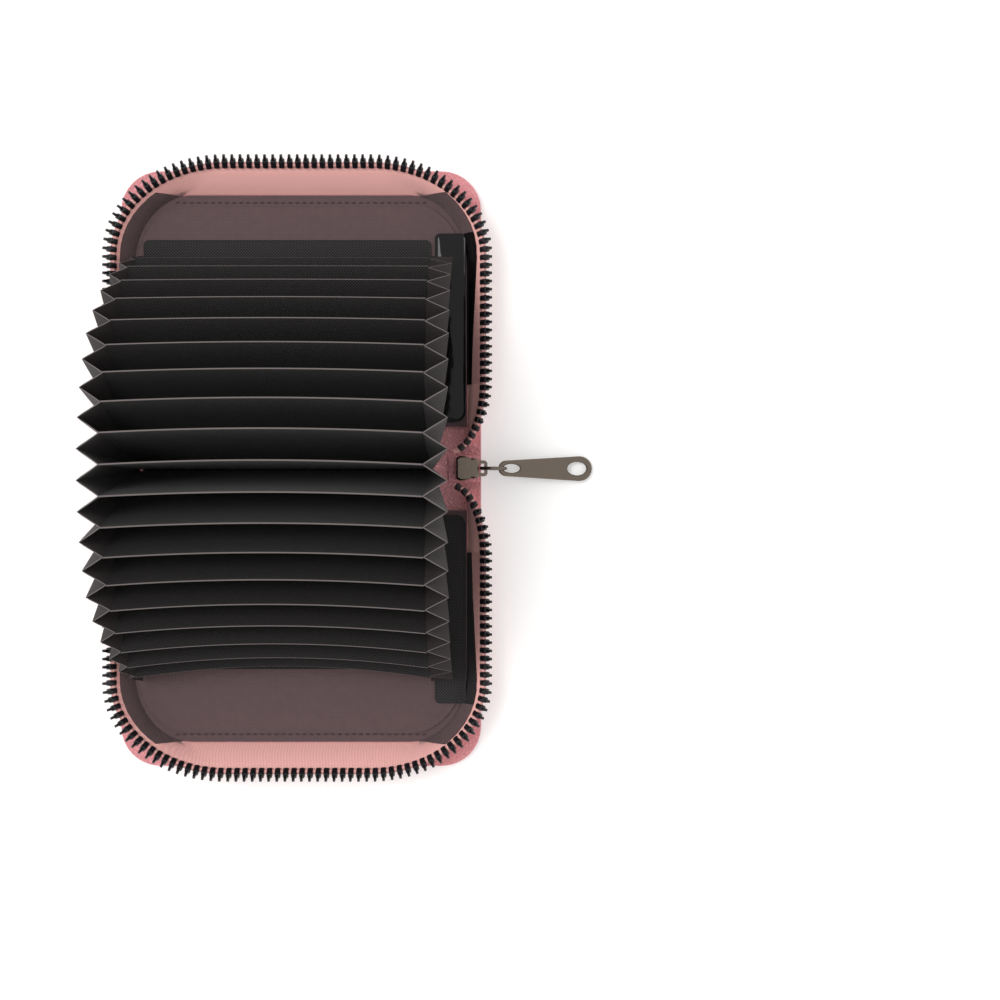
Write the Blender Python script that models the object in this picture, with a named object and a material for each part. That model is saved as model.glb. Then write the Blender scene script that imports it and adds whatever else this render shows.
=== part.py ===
"""Accordion card wallet, fanned open: two zip-edged leather covers, a spine, and nineteen fabric leaves.

Metres, +Z up. The origin is at the middle of the spine's outer face. The spine runs along X, the back cover
lies towards +Y and the front cover towards -Y, and the slider is at the +X end.
"""

import bisect
import math

import bmesh
import bpy
from mathutils import Matrix, Vector

MM = 0.001

# Accordion
LEAVES_PER_SIDE = 9
LEAF_STEP = math.radians(8)
LEAF_SPLAY = 0.08
LEAF_LENGTH = 87.6 * MM
LEAF_DEPTH = 56 * MM
LEAF = 0.34 * MM
LEAF_HEM = 0.5 * MM
LEAF_HEM_WIDTH = 2.5 * MM
ACCORDION_SHIFT = -4 * MM
ROOT_CROWN = 1.8 * MM
ROOT_BAND_EDGE = 1.2 * MM
GUSSET_DEPTH = 6.3 * MM
GUSSET = 0.5 * MM
GUSSET_LOWEST = 1.2 * MM
GUSSET_TOP_DROP = 0.8 * MM

# Covers and spine
END_ROOM = 11.2 * MM
FORE_ROOM = 23.3 * MM
COVER_LENGTH = LEAF_LENGTH + 2 * END_ROOM
COVER_WIDTH = LEAF_DEPTH + FORE_ROOM
COVER_CORNER = 12 * MM
CREASE_Y = 11.6 * MM
CREASE_Z = 0.7 * MM
CREASE_ROOM = 0.6 * MM
SPINE_EDGE_ROOM = 0.2 * MM
LEATHER = 1.0 * MM
LEATHER_EDGE_ROUND = 0.45 * MM
RIM_WIDTH = 1.3 * MM
RIM_HEIGHT = 2.4 * MM
FACING = 0.6 * MM
LINING = 0.4 * MM
LAYER_GAP = 0.25 * MM
SEAT_GAP = 0.3 * MM

# What lies on the linings
SLIP_POCKET = 0.3 * MM
SLIP_POCKET_INSET = 0.6 * MM
END_PANEL = 0.4 * MM
END_PANEL_START = 2.6 * MM
END_PANEL_DEPTH = LEAF_DEPTH - 4.5 * MM
SIDE_POCKET_GAP = 1.2 * MM
SIDE_POCKET_EDGE = 1.5 * MM
SIDE_POCKET_START = 2.6 * MM
SIDE_POCKET_END = LEAF_DEPTH + 4 * MM

# Zip
ROW_OVERHANG = 0.9 * MM
ROW_FORE_OVERHANG = 0.6 * MM
ROW_CORNER_X = 34 * MM
ROW_CORNER_Y = 27 * MM
ROW_START = 14 * MM
ROW_HEIGHT = 8.6 * MM
ROW_LEAN = math.radians(36.5)
TAPE = 0.6 * MM
SEAM_END_INSET = 3.7 * MM
SEAM_FORE_INSET = 6.9 * MM
SEAM_CORNER_X = 18 * MM
SEAM_CORNER_Y = 22 * MM
TAPE_BELLY = 0.5 * MM
SIDE_STATIONS = 4
CORNER_STATIONS = 12
FORE_STATIONS = 8
ROW_SAMPLES = 60
TOOTH_PITCH = 2.45 * MM
TOOTH_HALF_WIDTH = 0.9 * MM
TOOTH_TIP_HALF_WIDTH = 0.42 * MM
TOOTH_HALF_DEPTH = 1.1 * MM
TOOTH_TIP_HALF_DEPTH = 0.6 * MM
TOOTH_DRAFT = 0.06 * MM
TOOTH_SHOULDER = 0.75 * MM
TOOTH_BODY = 1.9 * MM
TOOTH_NECK = 2.3 * MM
TOOTH_REACH = 3.75 * MM
BEAD = 0.45 * MM
TAIL_STATIONS = 8
TAIL_TAPE_END = 0.7
TAIL_END_Y = 4.3 * MM
TAIL_CURL_Y = 5.2 * MM
TAIL_CURL_DEPTH = 0.7 * MM
TAIL_SEAM_END_Y = 6.8 * MM

# Slider, ring and pull tab
SLIDER_INSET = 0.6 * MM
SLIDER_LENGTH = 6.8 * MM
SLIDER_DEPTH = 5.0 * MM
SLIDER_MOUTH_WIDTH = 7.4 * MM
SLIDER_NOSE_WIDTH = 6.0 * MM
SLIDER_EDGE = 0.5 * MM
CHANNEL_DEPTH = 2.9 * MM
CHANNEL_WIDTH = 2.4 * MM
CHANNEL_YAW = math.radians(12)
TAPE_SLOT = 1.1 * MM
BRIDGE_REACH = 2.6 * MM
BRIDGE_BAR = 1.0 * MM
BRIDGE_SPAN = 4.8 * MM
RING_WIRE = 0.52 * MM
RING_LONG = 3.7 * MM
RING_SHORT = 3.1 * MM
RING_SEGMENTS = 28
TAB_LENGTH = 29 * MM
TAB_NECK = 4.8 * MM
TAB_FOOT = 7.6 * MM
TAB_DEPTH = 1.4 * MM
TAB_EDGE = 0.22 * MM
TAB_BAR = 1.3 * MM
TAB_EYE_LENGTH = 5.4 * MM
TAB_EYE_WIDTH = 2.7 * MM
TAB_HOLE_LENGTH = 6.2 * MM
TAB_HOLE_WIDTH = 4.2 * MM
TAB_HOLE_RIM = 1.6 * MM
ANCHOR_TAB = 1.5 * MM
ANCHOR_TAB_WIDTH = 8 * MM
END_BOX_INSET = 3.7 * MM
END_BOX_DEPTH = 4 * MM
END_BOX_HEIGHT = 6 * MM
END_BOX_WIDTH = 7 * MM

# Levels and places worked out from the sizes above
LINING_BASE = LEATHER + LAYER_GAP + FACING + LAYER_GAP
SLIP_BASE = LINING_BASE + LINING + LAYER_GAP
END_PANEL_BASE = SLIP_BASE + SLIP_POCKET + LAYER_GAP
END_PANEL_TOP = END_PANEL_BASE + END_PANEL
LEAF_PITCH = (CREASE_Y + CREASE_Z - END_PANEL_TOP - SEAT_GAP - LEAF_HEM / 2) / LEAVES_PER_SIDE
SPINE_LINING_BASE = LEATHER + SEAT_GAP
SPINE_HALF = CREASE_Y + CREASE_Z - END_PANEL_TOP
ROOT_BAND_BASE = SPINE_LINING_BASE + LINING + SEAT_GAP
ROOT_LOW = ROOT_BAND_BASE + ROOT_BAND_EDGE
TAPE_BASE = LINING_BASE
ROW_LENGTH = COVER_LENGTH + 2 * ROW_OVERHANG
ROW_REACH = COVER_WIDTH + ROW_FORE_OVERHANG
ROW_HALF = ROW_LENGTH / 2
SEAM_LENGTH = COVER_LENGTH - 2 * SEAM_END_INSET
SEAM_REACH = COVER_WIDTH - SEAM_FORE_INSET
LINING_HALF = SEAM_LENGTH / 2 - TAPE / 2 - SEAT_GAP
LINING_REACH = SEAM_REACH - TAPE / 2 - SEAT_GAP
LINING_CORNER_X = SEAM_CORNER_X - TAPE / 2 - SEAT_GAP
LINING_CORNER_Y = SEAM_CORNER_Y - TAPE / 2 - SEAT_GAP
SLIDER_NOSE = COVER_LENGTH / 2 - SLIDER_INSET
SLIDER_MOUTH = SLIDER_NOSE - SLIDER_LENGTH
SPINE_LINING_LOW = ACCORDION_SHIFT - LEAF_LENGTH / 2 - 3 * SEAT_GAP
SPINE_LINING_HIGH = SLIDER_MOUTH - 3 * MM
ANCHOR_BASE = LEATHER + SEAT_GAP
SLIDER_FOOT = ANCHOR_BASE + ANCHOR_TAB + SEAT_GAP
SLIDER_TOP = SLIDER_FOOT + SLIDER_DEPTH
BRIDGE_Z = SLIDER_FOOT + SLIDER_DEPTH / 2
END_BOX_INNER = COVER_LENGTH / 2 - END_BOX_INSET
END_BOX_TOP = SLIDER_FOOT + END_BOX_HEIGHT
RING_X = SLIDER_NOSE + RING_WIRE + 0.2 * MM + RING_LONG
TAB_EYE_CENTRE = TAB_BAR + TAB_EYE_LENGTH / 2
TAB_PIN_X = RING_X + RING_LONG - RING_WIRE - 0.4 * MM - TAB_BAR / 2


def material(name, colour, roughness, metallic=0.0):
    """A plain finish in the piece's own colour."""
    made = bpy.data.materials.new(name)
    made.use_nodes = True
    shader = made.node_tree.nodes["Principled BSDF"]
    shader.inputs["Base Color"].default_value = (*colour, 1)
    shader.inputs["Roughness"].default_value = roughness
    shader.inputs["Metallic"].default_value = metallic
    return made


def pivot(name, place, parent=None):
    """An empty on a joint's axis, for the pieces that turn about it."""
    empty = bpy.data.objects.new(name, None)
    bpy.context.scene.collection.objects.link(empty)
    empty.parent = parent
    empty.location = place
    return empty


def piece(name, mesh_data, finish, parent=None, smooth=None):
    """Adds a finished mesh to the scene as one named piece."""
    mesh = bpy.data.meshes.new(name)
    if isinstance(mesh_data, bmesh.types.BMesh):
        bmesh.ops.recalc_face_normals(mesh_data, faces=mesh_data.faces)
        mesh_data.to_mesh(mesh)
        mesh_data.free()
    made = bpy.data.objects.new(name, mesh)
    bpy.context.scene.collection.objects.link(made)
    made.data.materials.append(finish)
    made.parent = parent
    if smooth is not None:
        mesh.shade_smooth()
        mesh.set_sharp_from_angle(angle=math.radians(smooth))
    return made


def loft(loops, closed=False):
    """A solid through loops of equal count: capped at both ends, or joined round when closed."""
    mesh = bmesh.new()
    rings = [[mesh.verts.new(point) for point in loop] for loop in loops]
    count = len(rings[0])
    pairs = list(zip(rings, rings[1:]))
    if closed:
        pairs.append((rings[-1], rings[0]))
    for low, high in pairs:
        for n in range(count):
            after = (n + 1) % count
            mesh.faces.new((low[n], low[after], high[after], high[n]))
    if not closed:
        mesh.faces.new(rings[0])
        mesh.faces.new(rings[-1])
    return mesh


def rounded_outline(low_x, high_x, near, far, radius, steps=5, radius_y=None):
    """A panel's outline in plan: square at the near edge and rounded at the two far corners."""
    radius_y = radius_y or radius
    points = [(high_x, near)]
    for centre_x, first in ((high_x - radius, 0), (low_x + radius, 90)):
        for n in range(steps + 1):
            angle = math.radians(first + 90 * n / steps)
            points.append((centre_x + radius * math.cos(angle), far - radius_y + radius_y * math.sin(angle)))
    points.append((low_x, near))
    return points


def at_height(outline, side, height):
    """Cover coordinates: the outline's second value runs away from the crease, the height is above its axis."""
    return [(x, side * reach, height - CREASE_Z) for x, reach in outline]


def panel(name, side, finish, parent, span, near, far, radius, base, thickness, steps=4, radius_y=None):
    """A flat layer of a cover."""
    outline = rounded_outline(*span, near, far, radius, steps, radius_y)
    loops = [at_height(outline, side, base), at_height(outline, side, base + thickness)]
    return piece(name, loft(loops), finish, parent)


def symmetric(length):
    return (-length / 2, length / 2)


def cover_shell(name, side, finish, parent):
    """The leather of a cover: a flat sheet with a rounded edge, turned up into a low rim round three sides."""
    half = COVER_LENGTH / 2

    def outline(inset):
        return rounded_outline(
            -half + inset, half - inset, CREASE_ROOM, COVER_WIDTH - inset, COVER_CORNER - inset, 7
        )

    soft = LEATHER_EDGE_ROUND
    courses = [
        at_height(outline(soft), side, 0),
        at_height(outline(0.3 * soft), side, 0.3 * soft),
        at_height(outline(0), side, soft),
        at_height(outline(0), side, RIM_HEIGHT - soft),
        at_height(outline(0.5 * soft), side, RIM_HEIGHT),
        at_height(outline(RIM_WIDTH), side, RIM_HEIGHT),
        at_height(outline(RIM_WIDTH), side, LEATHER),
    ]
    mesh = bmesh.new()
    rows = [[mesh.verts.new(point) for point in course] for course in courses]
    for low, high in zip(rows, rows[1:]):
        for n in range(len(low) - 1):
            mesh.faces.new((low[n], low[n + 1], high[n + 1], high[n]))
    mesh.faces.new(rows[0])
    mesh.faces.new(rows[-1])
    mesh.faces.new([row[0] for row in rows] + [row[-1] for row in reversed(rows)])
    return piece(name, mesh, finish, parent, smooth=40)


def rim_point(stage, share, length, reach, corner_x, corner_y):
    """A point in plan, with its outward normal, on the path round a cover. The stages are side, corner, fore
    edge to the middle, and the same again mirrored. The corners are quarter ovals."""
    mirrored = stage > 2
    if mirrored:
        stage, share = 5 - stage, 1 - share
    half = length / 2
    angle = (0, share * math.pi / 2, math.pi / 2)[stage]
    out = Vector((corner_y * math.cos(angle), corner_x * math.sin(angle), 0)).normalized()
    if stage == 0:
        point = Vector((half, ROW_START + share * (reach - corner_y - ROW_START), 0))
    elif stage == 1:
        across = half - corner_x + corner_x * math.cos(angle)
        point = Vector((across, reach - corner_y + corner_y * math.sin(angle), 0))
    else:
        point = Vector(((1 - share) * (half - corner_x), reach, 0))
    flip = Vector((-1 if mirrored else 1, 1, 1))
    return flip * point, flip * out


def row_point(stage, share):
    return rim_point(stage, share, ROW_LENGTH, ROW_REACH, ROW_CORNER_X, ROW_CORNER_Y)


def row_table():
    """Distances along the tooth row, each with the stage and share that it falls at."""
    table = [(0.0, 0, 0.0)]
    last = row_point(0, 0)[0]
    for stage in range(6):
        for n in range(1, ROW_SAMPLES + 1):
            here = row_point(stage, n / ROW_SAMPLES)[0]
            table.append((table[-1][0] + (here - last).length, stage, n / ROW_SAMPLES))
            last = here
    return table


def rim_stage(distance, table):
    """The stage and the share of it that a distance along the tooth row falls in."""
    place = bisect.bisect_left([entry[0] for entry in table], distance)
    place = min(max(place, 1), len(table) - 1)
    (low, low_stage, low_share), (high, stage, share) = table[place - 1], table[place]
    if low_stage != stage:
        low_share = 0.0
    part = (distance - low) / (high - low)
    return stage, low_share + (share - low_share) * part


def row_frame(stage, share, side):
    """Where the tooth row stands: place, along, tooth direction and depth direction."""
    place, outward = row_point(stage, share)
    up = Vector((0, 0, 1))
    along = up.cross(outward)
    tooth = outward * math.sin(ROW_LEAN) + up * math.cos(ROW_LEAN)
    depth = outward * math.cos(ROW_LEAN) - up * math.sin(ROW_LEAN)
    turn = Vector((1, side, 1))
    return tuple(turn * vector for vector in (place + up * ROW_HEIGHT, along, tooth, depth))


def tape(name, side, finish, parent):
    """The tape of one cover: a thin wall from the seam beside the lining, leaning out to the tooth row."""
    counts = (SIDE_STATIONS, CORNER_STATIONS, FORE_STATIONS, FORE_STATIONS, CORNER_STATIONS, SIDE_STATIONS)
    stations = [(stage, n / count) for stage, count in enumerate(counts) for n in range(count)] + [(5, 1.0)]
    loops = []
    for stage, share in stations:
        seam, outward = rim_point(stage, share, SEAM_LENGTH, SEAM_REACH, SEAM_CORNER_X, SEAM_CORNER_Y)
        seam.z = TAPE_BASE - CREASE_Z
        bead, _, tooth, _ = row_frame(stage, share, 1)
        top = bead - tooth * (BEAD + SEAT_GAP)
        half = outward * TAPE / 2
        middle = (seam + top) / 2 - outward * TAPE_BELLY
        ring = [seam + half, middle + half, top + half, top - half, middle - half, seam - half]
        loops.append([Vector((1, side, 1)) * point for point in ring])
    return piece(name, loft(loops), finish, parent, smooth=60)


def toothed_bead(frames):
    """A bead with a tooth on every second stretch. Two frames, one at each end of its foot, bound each tooth."""
    mesh = bmesh.new()
    corners = ((-1, -1), (1, -1), (1, 1), (-1, 1))
    rings = []
    for place, _, tooth, depth in frames:
        rings.append([mesh.verts.new(place + depth * a * BEAD + tooth * b * BEAD) for a, b in corners])
    mesh.faces.new(rings[0])
    mesh.faces.new(rings[-1])
    for n, (low, high) in enumerate(zip(rings, rings[1:])):
        for side in range(4):
            after = (side + 1) % 4
            if side == 2 and n % 2 == 0:
                continue
            mesh.faces.new((low[side], low[after], high[after], high[side]))
        if n % 2 == 1:
            continue
        place = (frames[n][0] + frames[n + 1][0]) / 2
        along, tooth, depth = ((frames[n][k] + frames[n + 1][k]).normalized() for k in (1, 2, 3))
        last = [low[2], low[3], high[3], high[2]]
        for rise, half_width, half_depth in (
            (TOOTH_SHOULDER, TOOTH_HALF_WIDTH, TOOTH_HALF_DEPTH),
            (TOOTH_BODY, TOOTH_HALF_WIDTH - TOOTH_DRAFT, TOOTH_HALF_DEPTH - TOOTH_DRAFT),
            (TOOTH_NECK, TOOTH_TIP_HALF_WIDTH, TOOTH_TIP_HALF_DEPTH),
            (TOOTH_REACH, TOOTH_TIP_HALF_WIDTH - TOOTH_DRAFT, TOOTH_TIP_HALF_DEPTH - TOOTH_DRAFT),
        ):
            ring = [
                mesh.verts.new(place + tooth * rise + along * a * half_width + depth * b * half_depth)
                for a, b in ((-1, 1), (-1, -1), (1, -1), (1, 1))
            ]
            for side in range(4):
                after = (side + 1) % 4
                mesh.faces.new((last[side], last[after], ring[after], ring[side]))
            last = ring
        mesh.faces.new(last)
    return mesh


def teeth(name, side, finish, parent):
    """The moulded tooth row of one cover. The front row sits half a pitch off, so that the rows can mesh."""
    table = row_table()
    length = table[-1][0]
    room = TOOTH_HALF_WIDTH + 0.3 * MM
    half_count = int((length / 2 - room) / TOOTH_PITCH - 0.5) if side < 0 else int((length / 2 - room) / TOOTH_PITCH)
    steps = range(-half_count, half_count + 1)
    centres = [length / 2 + n * TOOTH_PITCH for n in steps]
    if side < 0:
        centres = [c - TOOTH_PITCH / 2 for c in centres] + [centres[-1] + TOOTH_PITCH / 2]
    frames = []
    for centre in centres:
        frames += [row_frame(*rim_stage(centre + a * TOOTH_HALF_WIDTH, table), side) for a in (-1, 1)]
    return piece(name, toothed_bead(frames), finish, parent)


def tail_path(end, side):
    """The loop by which a row leaves its cover: it curls in to the slider's mouth, or down into the end box."""
    start = Vector((end * ROW_HALF, side * (CREASE_Y + ROW_START - 0.5 * MM), CREASE_Z + ROW_HEIGHT))
    if end > 0:
        finish = Vector((SLIDER_MOUTH - TAIL_CURL_DEPTH, side * TAIL_CURL_Y, SLIDER_TOP - 1.5 * MM))
        first = start + Vector((0, -side * 9 * MM, 0.8 * MM))
        second = finish + Vector((5.5 * MM, side * 1.5 * MM, 1.0 * MM))
    else:
        middle = END_BOX_INNER + END_BOX_DEPTH / 2
        finish = Vector((-middle, side * TAIL_END_Y, END_BOX_TOP + BEAD + SEAT_GAP))
        first = start + Vector((0, -side * 9 * MM, 1.5 * MM))
        second = finish + Vector((0, side * 2.5 * MM, 7 * MM))

    def point(t):
        weights = ((1 - t) ** 3, 3 * t * (1 - t) ** 2, 3 * t**2 * (1 - t), t**3)
        return sum((p * w for p, w in zip((start, first, second, finish), weights)), Vector((0, 0, 0)))

    return point


def tail_frame(point, t, end, side):
    """Place, along, tooth and depth directions on a tail's loop. The teeth turn up, or towards the other row."""
    small = 0.01
    along = (point(min(t + small, 1)) - point(max(t - small, 0))).normalized()
    leaning = Vector((end * math.sin(ROW_LEAN), 0, math.cos(ROW_LEAN)))
    turned = Vector((0, 0, 1)) if end > 0 else Vector((0, -side, 0))
    share = t * t * (3 - 2 * t)
    tooth = leaning * (1 - share) + turned * share
    tooth = (tooth - along * tooth.dot(along)).normalized()
    depth = along.cross(tooth).normalized()
    return point(t), along, tooth, depth


def tail_places(point):
    """Even steps along a tail's loop, two for each tooth, as shares of its curve."""
    samples = [point(n / 200) for n in range(201)]
    lengths = [0.0]
    for a, b in zip(samples, samples[1:]):
        lengths.append(lengths[-1] + (b - a).length)
    count = int((lengths[-1] - 1.5 * TOOTH_HALF_WIDTH) / TOOTH_PITCH)
    first = (lengths[-1] - count * TOOTH_PITCH) / 2
    wanted = [first + n * TOOTH_PITCH + a * TOOTH_HALF_WIDTH for n in range(count + 1) for a in (-1, 1)]
    return [next(n for n, length in enumerate(lengths) if length >= min(w, lengths[-1])) / 200 for w in wanted]


def tail_teeth(name, end, side, finish):
    point = tail_path(end, side)
    frames = [tail_frame(point, t, end, side) for t in tail_places(point)]
    return piece(name, toothed_bead(frames), finish)


def tail_tape(name, end, side, finish):
    """The web of tape under a tail's teeth, from the cover's edge to the spine's end."""
    point = tail_path(end, side)
    loops = []
    for n in range(TAIL_STATIONS + 1):
        t = TAIL_TAPE_END * n / TAIL_STATIONS
        place, _, tooth, depth = tail_frame(point, t, end, side)
        top = place - tooth * (BEAD + SEAT_GAP + 0.1 * MM)
        share = n / TAIL_STATIONS
        seam_y = (1 - share) * (CREASE_Y + ROW_START - 0.5 * MM) + share * TAIL_SEAM_END_Y
        seam = Vector((end * SEAM_LENGTH / 2, side * seam_y, TAPE_BASE))
        half = depth * TAPE / 2
        sideways = Vector((TAPE / 2 * (1 if depth.x > 0 else -1), 0, 0))
        loops.append([seam + sideways, top + half, top - half, seam - sideways])
    return piece(name, loft(loops), finish)


def leaf_angle(index):
    """How far a leaf leans from the middle one at rest. The outer leaves splay a little more."""
    return LEAF_STEP * index * (1 + LEAF_SPLAY * (index / LEAVES_PER_SIDE) ** 4)


def leaf_root(index):
    """The bottom edge of a leaf, on the crowned root band. Index 0 is the middle leaf."""
    share = index / LEAVES_PER_SIDE
    return Vector((ACCORDION_SHIFT, index * LEAF_PITCH, ROOT_LOW + SEAT_GAP + ROOT_CROWN * (1 - share**2)))


def leaf(index, finish):
    """A fabric leaf with a turned hem along its mouth, leaning out from the middle of the fan."""
    hem_start = LEAF_DEPTH - LEAF_HEM_WIDTH
    profile = [
        (-LEAF / 2, 0),
        (LEAF / 2, 0),
        (LEAF / 2, hem_start - LEAF_HEM),
        (LEAF_HEM / 2, hem_start),
        (LEAF_HEM / 2, LEAF_DEPTH),
        (-LEAF_HEM / 2, LEAF_DEPTH),
        (-LEAF_HEM / 2, hem_start),
        (-LEAF / 2, hem_start - LEAF_HEM),
    ]
    loops = [[(x, y, z) for y, z in profile] for x in symmetric(LEAF_LENGTH)]
    made = piece(f"leaf_{index + LEAVES_PER_SIDE + 1:02d}", loft(loops), finish)
    made.location = leaf_root(index)
    made.rotation_euler = (-leaf_angle(index), 0, 0)
    return made


def fan_line(index):
    """The lower and upper end of a fold line of the fan, in the plane across the spine."""
    last = LEAVES_PER_SIDE + 1
    share = math.copysign(min(abs(index), LEAVES_PER_SIDE), index)
    root = leaf_root(share)
    angle = leaf_angle(share)
    out = Vector((0, math.sin(angle), math.cos(angle)))
    low = root + out * GUSSET_LOWEST
    high = root + out * (LEAF_DEPTH - GUSSET_TOP_DROP)
    if abs(index) > LEAVES_PER_SIDE:
        side = math.copysign(1, index)
        over = (abs(index) - LEAVES_PER_SIDE) / (last - LEAVES_PER_SIDE)
        flat = END_PANEL_TOP + SEAT_GAP + GUSSET
        flat_low = Vector((0, side * (CREASE_Y + END_PANEL_START), flat))
        flat_high = Vector((0, side * (CREASE_Y + END_PANEL_START + END_PANEL_DEPTH - 1 * MM), flat))
        low = low.lerp(flat_low, over)
        high = high.lerp(flat_high, over)
    return low, high


def gusset(name, end, finish):
    """The pleated ribbon that closes the pockets at one end: a fold on each leaf, a crease outside between two."""
    inner = ACCORDION_SHIFT + end * (LEAF_LENGTH / 2 + SEAT_GAP)
    outer = inner + end * GUSSET_DEPTH
    last = LEAVES_PER_SIDE + 1
    loops = []
    for half_step in range(-2 * last, 2 * last + 1):
        low, high = fan_line(half_step / 2)
        x = outer if half_step % 2 else inner
        skin = end * GUSSET
        low_x = inner + 0.25 * (x - inner)
        loops.append(
            [
                (low_x, low.y, low.z),
                (x, high.y, high.z),
                (x + skin, high.y, high.z),
                (low_x + skin, low.y, low.z),
            ]
        )
    return piece(name, loft(loops), finish)


def root_band(finish):
    """The band that the leaves' bottom edges are glued to, crowned so that the fan opens evenly."""
    steps = 2 * LEAVES_PER_SIDE
    edge = LEAVES_PER_SIDE * LEAF_PITCH + LEAF
    crown = [leaf_root(n - LEAVES_PER_SIDE) for n in range(steps + 1)]
    profile = [(-edge, ROOT_BAND_BASE), (edge, ROOT_BAND_BASE)]
    profile += [(edge, ROOT_LOW)] + [(p.y, p.z - SEAT_GAP) for p in reversed(crown)] + [(-edge, ROOT_LOW)]
    loops = [[(ACCORDION_SHIFT + x, y, z) for y, z in profile] for x in symmetric(LEAF_LENGTH)]
    return piece("accordion_root_band", loft(loops), finish)


def block(name, low, high, finish, parent=None, edge=0.0):
    """A rectangular piece with softened edges."""
    mesh = bmesh.new()
    bmesh.ops.create_cube(mesh, size=1)
    centre = [(a + b) / 2 for a, b in zip(low, high)]
    size = [b - a for a, b in zip(low, high)]
    bmesh.ops.transform(mesh, verts=mesh.verts, matrix=Matrix.Translation(centre) @ Matrix.Diagonal((*size, 1)))
    if edge:
        bmesh.ops.bevel(mesh, geom=mesh.edges, offset=edge, segments=1, affect="EDGES")
    return piece(name, mesh, finish, parent)


def cut(target, cutters):
    """Cuts each cutter out of the target and leaves the cutters as hidden guides."""
    for cutter in cutters:
        cutter.hide_render = True
        cutter.display_type = "WIRE"
        modifier = target.modifiers.new("cut_" + cutter.name, "BOOLEAN")
        modifier.operation = "DIFFERENCE"
        modifier.object = cutter


def slider_outline(inset):
    """The slider's plate in plan: a wide mouth towards the wallet, where the rows enter, and a narrow nose."""
    mouth, nose = SLIDER_MOUTH_WIDTH / 2 - inset, SLIDER_NOSE_WIDTH / 2 - inset
    near, far = SLIDER_MOUTH + inset, SLIDER_NOSE - inset
    run = far - near
    half = [(far, 0.8 * nose), (far - 0.12 * run, nose), (far - 0.34 * run, nose)]
    half += [(near + 0.34 * run, mouth), (near + 0.14 * run, mouth), (near, 0.84 * mouth)]
    return half + [(x, -y) for x, y in reversed(half)]


def slider(finish):
    """The slider body: two plates joined at the mouth by the divider, with a forked channel for the two rows."""
    steps = (
        (SLIDER_FOOT, SLIDER_EDGE),
        (SLIDER_FOOT + SLIDER_EDGE, 0),
        (SLIDER_TOP - SLIDER_EDGE, 0),
        (SLIDER_TOP, SLIDER_EDGE),
    )
    body = piece("slider_body", loft([[(x, y, z) for x, y in slider_outline(inset)] for z, inset in steps]), finish)
    middle = SLIDER_MOUTH + SLIDER_LENGTH / 2
    over = 3 * MM
    cutters = []
    for side, side_name in ((-1, "front"), (1, "back")):
        channel = block(
            f"channel_{side_name}_cutter",
            (-SLIDER_LENGTH / 2 - over, -CHANNEL_WIDTH / 2, BRIDGE_Z - CHANNEL_DEPTH / 2),
            (SLIDER_LENGTH / 2 + over, CHANNEL_WIDTH / 2, BRIDGE_Z + CHANNEL_DEPTH / 2),
            finish,
        )
        channel.location = (middle, side * (CHANNEL_WIDTH / 2 + 0.1 * MM), 0)
        channel.rotation_euler = (0, 0, -side * CHANNEL_YAW)
        slot_low, slot_high = sorted((side * 1.2 * MM, side * (SLIDER_MOUTH_WIDTH / 2 + over)))
        slot = block(
            f"tape_slot_{side_name}_cutter",
            (SLIDER_MOUTH - over, slot_low, BRIDGE_Z - TAPE_SLOT / 2),
            (SLIDER_NOSE + over, slot_high, BRIDGE_Z + TAPE_SLOT / 2),
            finish,
        )
        cutters += [channel, slot]
    cut(body, cutters)
    return body


def bridge(finish):
    """The staple on the slider's nose that the ring hangs in."""
    face = SLIDER_NOSE + SEAT_GAP / 2
    outer = SLIDER_NOSE + BRIDGE_REACH
    inner_half = BRIDGE_SPAN / 2 - BRIDGE_BAR
    half = BRIDGE_SPAN / 2
    soft = 0.35 * MM
    profile = [
        (face, half),
        (outer - 2 * soft, half),
        (outer, half - 2 * soft),
        (outer, -half + 2 * soft),
        (outer - 2 * soft, -half),
        (face, -half),
        (face, -inner_half),
        (outer - BRIDGE_BAR, -inner_half),
        (outer - BRIDGE_BAR, inner_half),
        (face, inner_half),
    ]
    heights = (BRIDGE_Z - BRIDGE_BAR / 2, BRIDGE_Z + BRIDGE_BAR / 2)
    return piece("slider_bridge", loft([[(x, y, z) for x, y in profile] for z in heights]), finish)


def ring(finish, parent):
    """The oval wire ring between the bridge and the pull tab, drawn about its pivot on the bridge's bar."""
    centre = RING_X - (SLIDER_NOSE + BRIDGE_REACH - BRIDGE_BAR / 2)
    loops = []
    for n in range(RING_SEGMENTS):
        angle = 2 * math.pi * n / RING_SEGMENTS
        place = Vector((centre + RING_LONG * math.cos(angle), 0, RING_SHORT * math.sin(angle)))
        out = Vector((RING_SHORT * math.cos(angle), 0, RING_LONG * math.sin(angle))).normalized()
        across = Vector((0, 1, 0))
        loops.append(
            [
                place + (out * math.cos(a) + across * math.sin(a)) * RING_WIRE
                for a in (math.radians(45 * k) for k in range(8))
            ]
        )
    return piece("pull_ring", loft(loops, closed=True), finish, parent, smooth=50)


def plan_spline(curve, points):
    """Adds a closed straight-sided spline to a flat curve."""
    spline = curve.splines.new("POLY")
    spline.points.add(len(points) - 1)
    for target, (x, y) in zip(spline.points, points):
        target.co = (x, y, 0, 1)
    spline.use_cyclic_u = True


def oval(centre, length, width, steps=14):
    """An oval along X, as points."""
    turns = (2 * math.pi * n / steps for n in range(steps))
    return [(centre + length / 2 * math.cos(a), width / 2 * math.sin(a)) for a in turns]


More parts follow.
